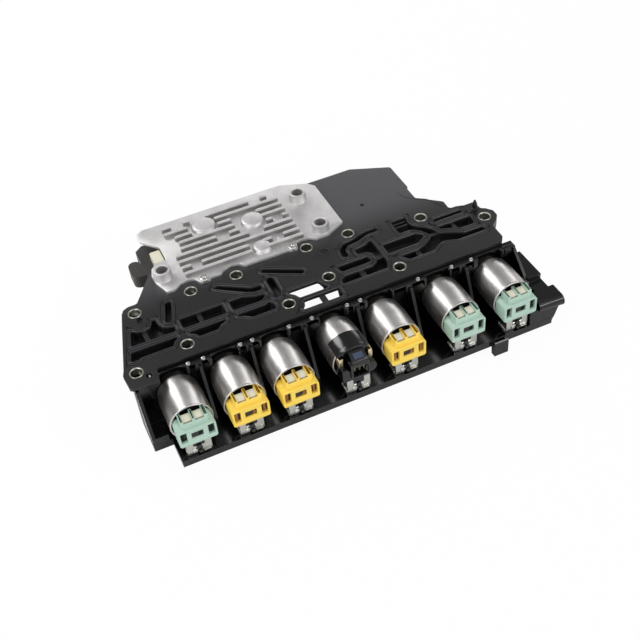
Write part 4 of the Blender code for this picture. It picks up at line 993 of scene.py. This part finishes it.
def build_clips():
    """Each clip is a long block, with a wide tooth in its middle and a narrow one near each end."""
    clips, studs = Shape(), Shape()
    for start, end in CLIPS:
        block(clips, rectangle(start, 5.0, end, 8.4, 0.6), -6.0, -2.4, 0.4)
        middle = (start + end) / 2
        block(clips, rectangle(middle - 2.4, 4.0, middle + 2.4, 5.4, 0.4), -9.0, -2.9, 0.4)
        for side in (start + 0.9, end - 0.9):
            block(clips, rectangle(side - 0.7, 3.6, side + 0.7, 5.6, 0.3), -8.0, -2.7, 0.3)
    for x in STUDS:
        profile = [(1.6, -3.0), (1.6, -1.9), (1.3, -1.4), (0.7, -1.2), (0.0, -1.2)]
        turned(studs, profile, (x, 6.7), "z", 20, closed=False)
    make_piece("tray_clips", clips, tray_nylon)
    make_piece("pressed_studs", studs, bright_strip)


build_clips()
print("clips:", len(CLIPS), "studs:", len(STUDS))

# %% The rail's rolled end

ROLL_START, ROLL_LENGTH = 281.6, 19.2


def build_end_roll():
    """Arcs about a centre that drifts forward, with a radius that grows towards the far end."""
    share = np.linspace(0, 1, 12)[:, None]
    angle = np.radians(np.linspace(75, 262, 22))[None, :]
    radius = 4.1 + 0.5 * share
    y = -34.6 - 0.9 * share + radius * np.cos(angle)
    z = -27.3 + 0.3 * share + radius * np.sin(angle)
    x = np.broadcast_to(ROLL_START + ROLL_LENGTH * share, y.shape)
    roll = np.stack([x, y, z], axis=-1)
    shape = Shape().add_grid(roll)
    for end, step in ((roll[0], 1), (roll[-1], -1)):
        shape.add(end, [list(range(len(end)))[::step]])
    back = np.stack([roll[:, 0], roll[:, 0] + [0, 9.2, 0.1]], axis=1)
    shape.add_grid(back)
    make_piece("end_roll", shape, tray_nylon)


build_end_roll()
print("rail ends at X", round(ROLL_START + ROLL_LENGTH, 1))

# %% Marks on the deck


def build_deck_marks():
    """The dimple, the line and the peg in one piece, then the ring and the pin."""
    marks = Shape()
    dimple = [(3.9, 0.0), (3.75, 0.16), (3.5, 0.2), (3.25, 0.16), (3.1, 0.0)]
    turned(marks, dimple, (163.7, 63.1), "z", 40, closed=False)
    line = stroke([(240.0, 102.6), (241.4, 97.4), (243.6, 90.8), (248.6, 86.0), (256.0, 80.6),
                   (260.6, 73.0), (262.6, 67.0)], 0.3, 4)
    block(marks, line, -0.2, 0.4, 0.15, base=False)
    peg = [(2.7, -1.0), (2.7, 0.8), (2.2, 1.2), (1.8, 5.0), (0.7, 7.8), (0.0, 8.0)]
    turned(marks, peg, (281.6, 53.0), "z", 24, closed=False)
    make_piece("deck_marks", marks, plate_nylon)
    vent = [(1.7, 0.02), (1.7, 0.1), (1.25, 0.1), (1.2, 0.02)]
    ring = turned(Shape(), vent, (210.7, 98.6), "z", 24, closed=False)
    make_piece("vent_ring", ring, bead_rubber)
    side = [(0.0, -0.6), (0.0, 0.9), (0.6, 0.8), (0.9, 0.3), (0.9, -4.0), (0.0, -4.0)]
    pin = turned(Shape(), side, (13.4, 5.6), "z", 20)
    make_piece("ear_pin", pin, bright_strip)


build_deck_marks()
print("pieces so far:", len(bpy.data.meshes))

# %% [markdown]
# ## Finishes for the solids that stay
# The plate, the tray and the plain pieces behind keep their exact solids and only get a finish.

# %% Finishes on the frame's own solids

KEPT = {"channel_plate": plate_nylon, "solenoid_tray": tray_nylon, "rear_cover": plate_nylon,
        "harness_connector": plug_nylon, "terminal_carrier": cream_nylon}
KEPT.update({f"solenoid_{k}_spool": bright_strip for k in range(1, 8)})
for node, material in KEPT.items():
    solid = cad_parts[node]
    solid.data.materials.clear()
    solid.data.materials.append(material)
print("solids kept:", len(KEPT))

# %% [markdown]
# ## Floor, light and camera
# The photograph was taken on white under large soft lamps. A lamp behind and above gives the cans
# their long white streak, and the floor is drawn white where the camera sees it while it still
# takes a faint shadow.

# %% Floor

FLOOR_GAP = 0.0004     # metres under the part's lowest point
FLOOR_REACH = 3.0
GLOW_SHARE = 0.96      # how much of the floor's white is its own light


def build_floor():
    """A large white sheet that shines by itself only where the camera looks straight at it."""
    mesh = bpy.data.meshes.new("floor")
    corners = [(x * FLOOR_REACH, y * FLOOR_REACH, cad_box[0][2] - FLOOR_GAP)
               for x, y in ((-1, -1), (1, -1), (1, 1), (-1, 1))]
    mesh.from_pydata(corners, [], [(0, 1, 2, 3)])
    floor = bpy.data.objects.new("floor", mesh)
    bpy.context.scene.collection.objects.link(floor)
    material, tree = new_material("white_paper")
    ray = add_node(tree, "LightPath")
    share = add_node(tree, "Math", {0: ray.outputs["Is Camera Ray"]}, operation="MULTIPLY")
    share.inputs[1].default_value = GLOW_SHARE
    paper = add_node(tree, "BsdfDiffuse", Color=(0.9, 0.9, 0.9, 1))
    glow = add_node(tree, "Emission", Color=(1, 1, 1, 1), Strength=1.0)
    both = add_node(tree, "MixShader", {0: share.outputs[0], 1: paper.outputs[0], 2: glow.outputs[0]})
    finish_material(material, tree, both)
    mesh.materials.append(material)


build_floor()
print("floor at", round((cad_box[0][2] - FLOOR_GAP) / MM, 1), "mm")

# %% World and lamps


def build_world():
    """Grey light, stronger from the front than from behind, and white where the camera sees it."""
    world = bpy.data.worlds.new("studio")
    bpy.context.scene.world = world
    world.use_nodes = True
    tree = world.node_tree
    tree.nodes.clear()
    ray = add_node(tree, "LightPath")
    place = add_node(tree, "TexCoord")
    axes = add_node(tree, "SeparateXYZ", {"Vector": place.outputs["Generated"]})
    level = add_node(tree, "MapRange", {"Value": axes.outputs["Y"]}, interpolation_type="SMOOTHSTEP",
                     From_Min=-0.6, From_Max=0.8, To_Min=0.95, To_Max=0.36)
    soft = add_node(tree, "Background", {"Strength": level.outputs[0]}, Color=srgb("#e2e3e5"))
    white = add_node(tree, "Background", Color=(1, 1, 1, 1), Strength=1.0)
    seen = ray.outputs["Is Camera Ray"]
    both = add_node(tree, "MixShader", {0: seen, 1: soft.outputs[0], 2: white.outputs[0]})
    add_node(tree, "OutputWorld", {"Surface": both.outputs[0]})


def add_lamp(name, direction, distance, size, power):
    """A soft rectangular lamp in a direction from the object, turned to face it."""
    data = bpy.data.lights.new(name, "AREA")
    data.shape = "RECTANGLE"
    data.size, data.size_y = size
    data.energy = power
    lamp = bpy.data.objects.new(name, data)
    lamp.location = Vector(direction).normalized() * distance
    lamp.rotation_euler = (-lamp.location).to_track_quat("-Z", "Y").to_euler()
    bpy.context.scene.collection.objects.link(lamp)


build_world()
add_lamp("back_key", (-0.45, 0.60, 0.72), 1.2, (0.42, 0.42), 4.2)
add_lamp("left_fill", (-0.9, -0.35, 0.55), 1.3, (0.7, 0.7), 4.5)
add_lamp("rear_sheet", (0.5, 0.9, 0.36), 1.4, (1.3, 0.3), 3.4)
add_lamp("front_strip", (0.5, -0.72, 0.49), 1.4, (0.9, 0.3), 4.6)
print("lamps:", len(bpy.data.lights))

# %% Camera

CAMERA_PLACE = (-35.03, -462.04, 475.80)
FOCAL_SHARE = 1019.0 / 640.0    # focal length over the picture's width


def build_camera():
    """The photograph's viewpoint, from the directions of its right, up and forward axes."""
    right, up = Vector((0.9097, -0.4080, -0.0773)), Vector((0.3360, 0.6139, 0.7143))
    forward = Vector((0.2440, 0.6758, -0.6955))
    place = Vector(to_metres(CAMERA_PLACE).tolist())
    data = bpy.data.cameras.new("photo_camera")
    data.sensor_width = 36.0
    data.lens = FOCAL_SHARE * data.sensor_width
    data.clip_start = 0.01
    camera = bpy.data.objects.new("photo_camera", data)
    turn = Matrix((right, up, -forward)).transposed().to_4x4()
    camera.matrix_world = Matrix.Translation(place) @ turn
    bpy.context.scene.collection.objects.link(camera)
    bpy.context.scene.camera = camera


build_camera()
bpy.context.scene.view_settings.view_transform = "Standard"
print("camera at", CAMERA_PLACE)
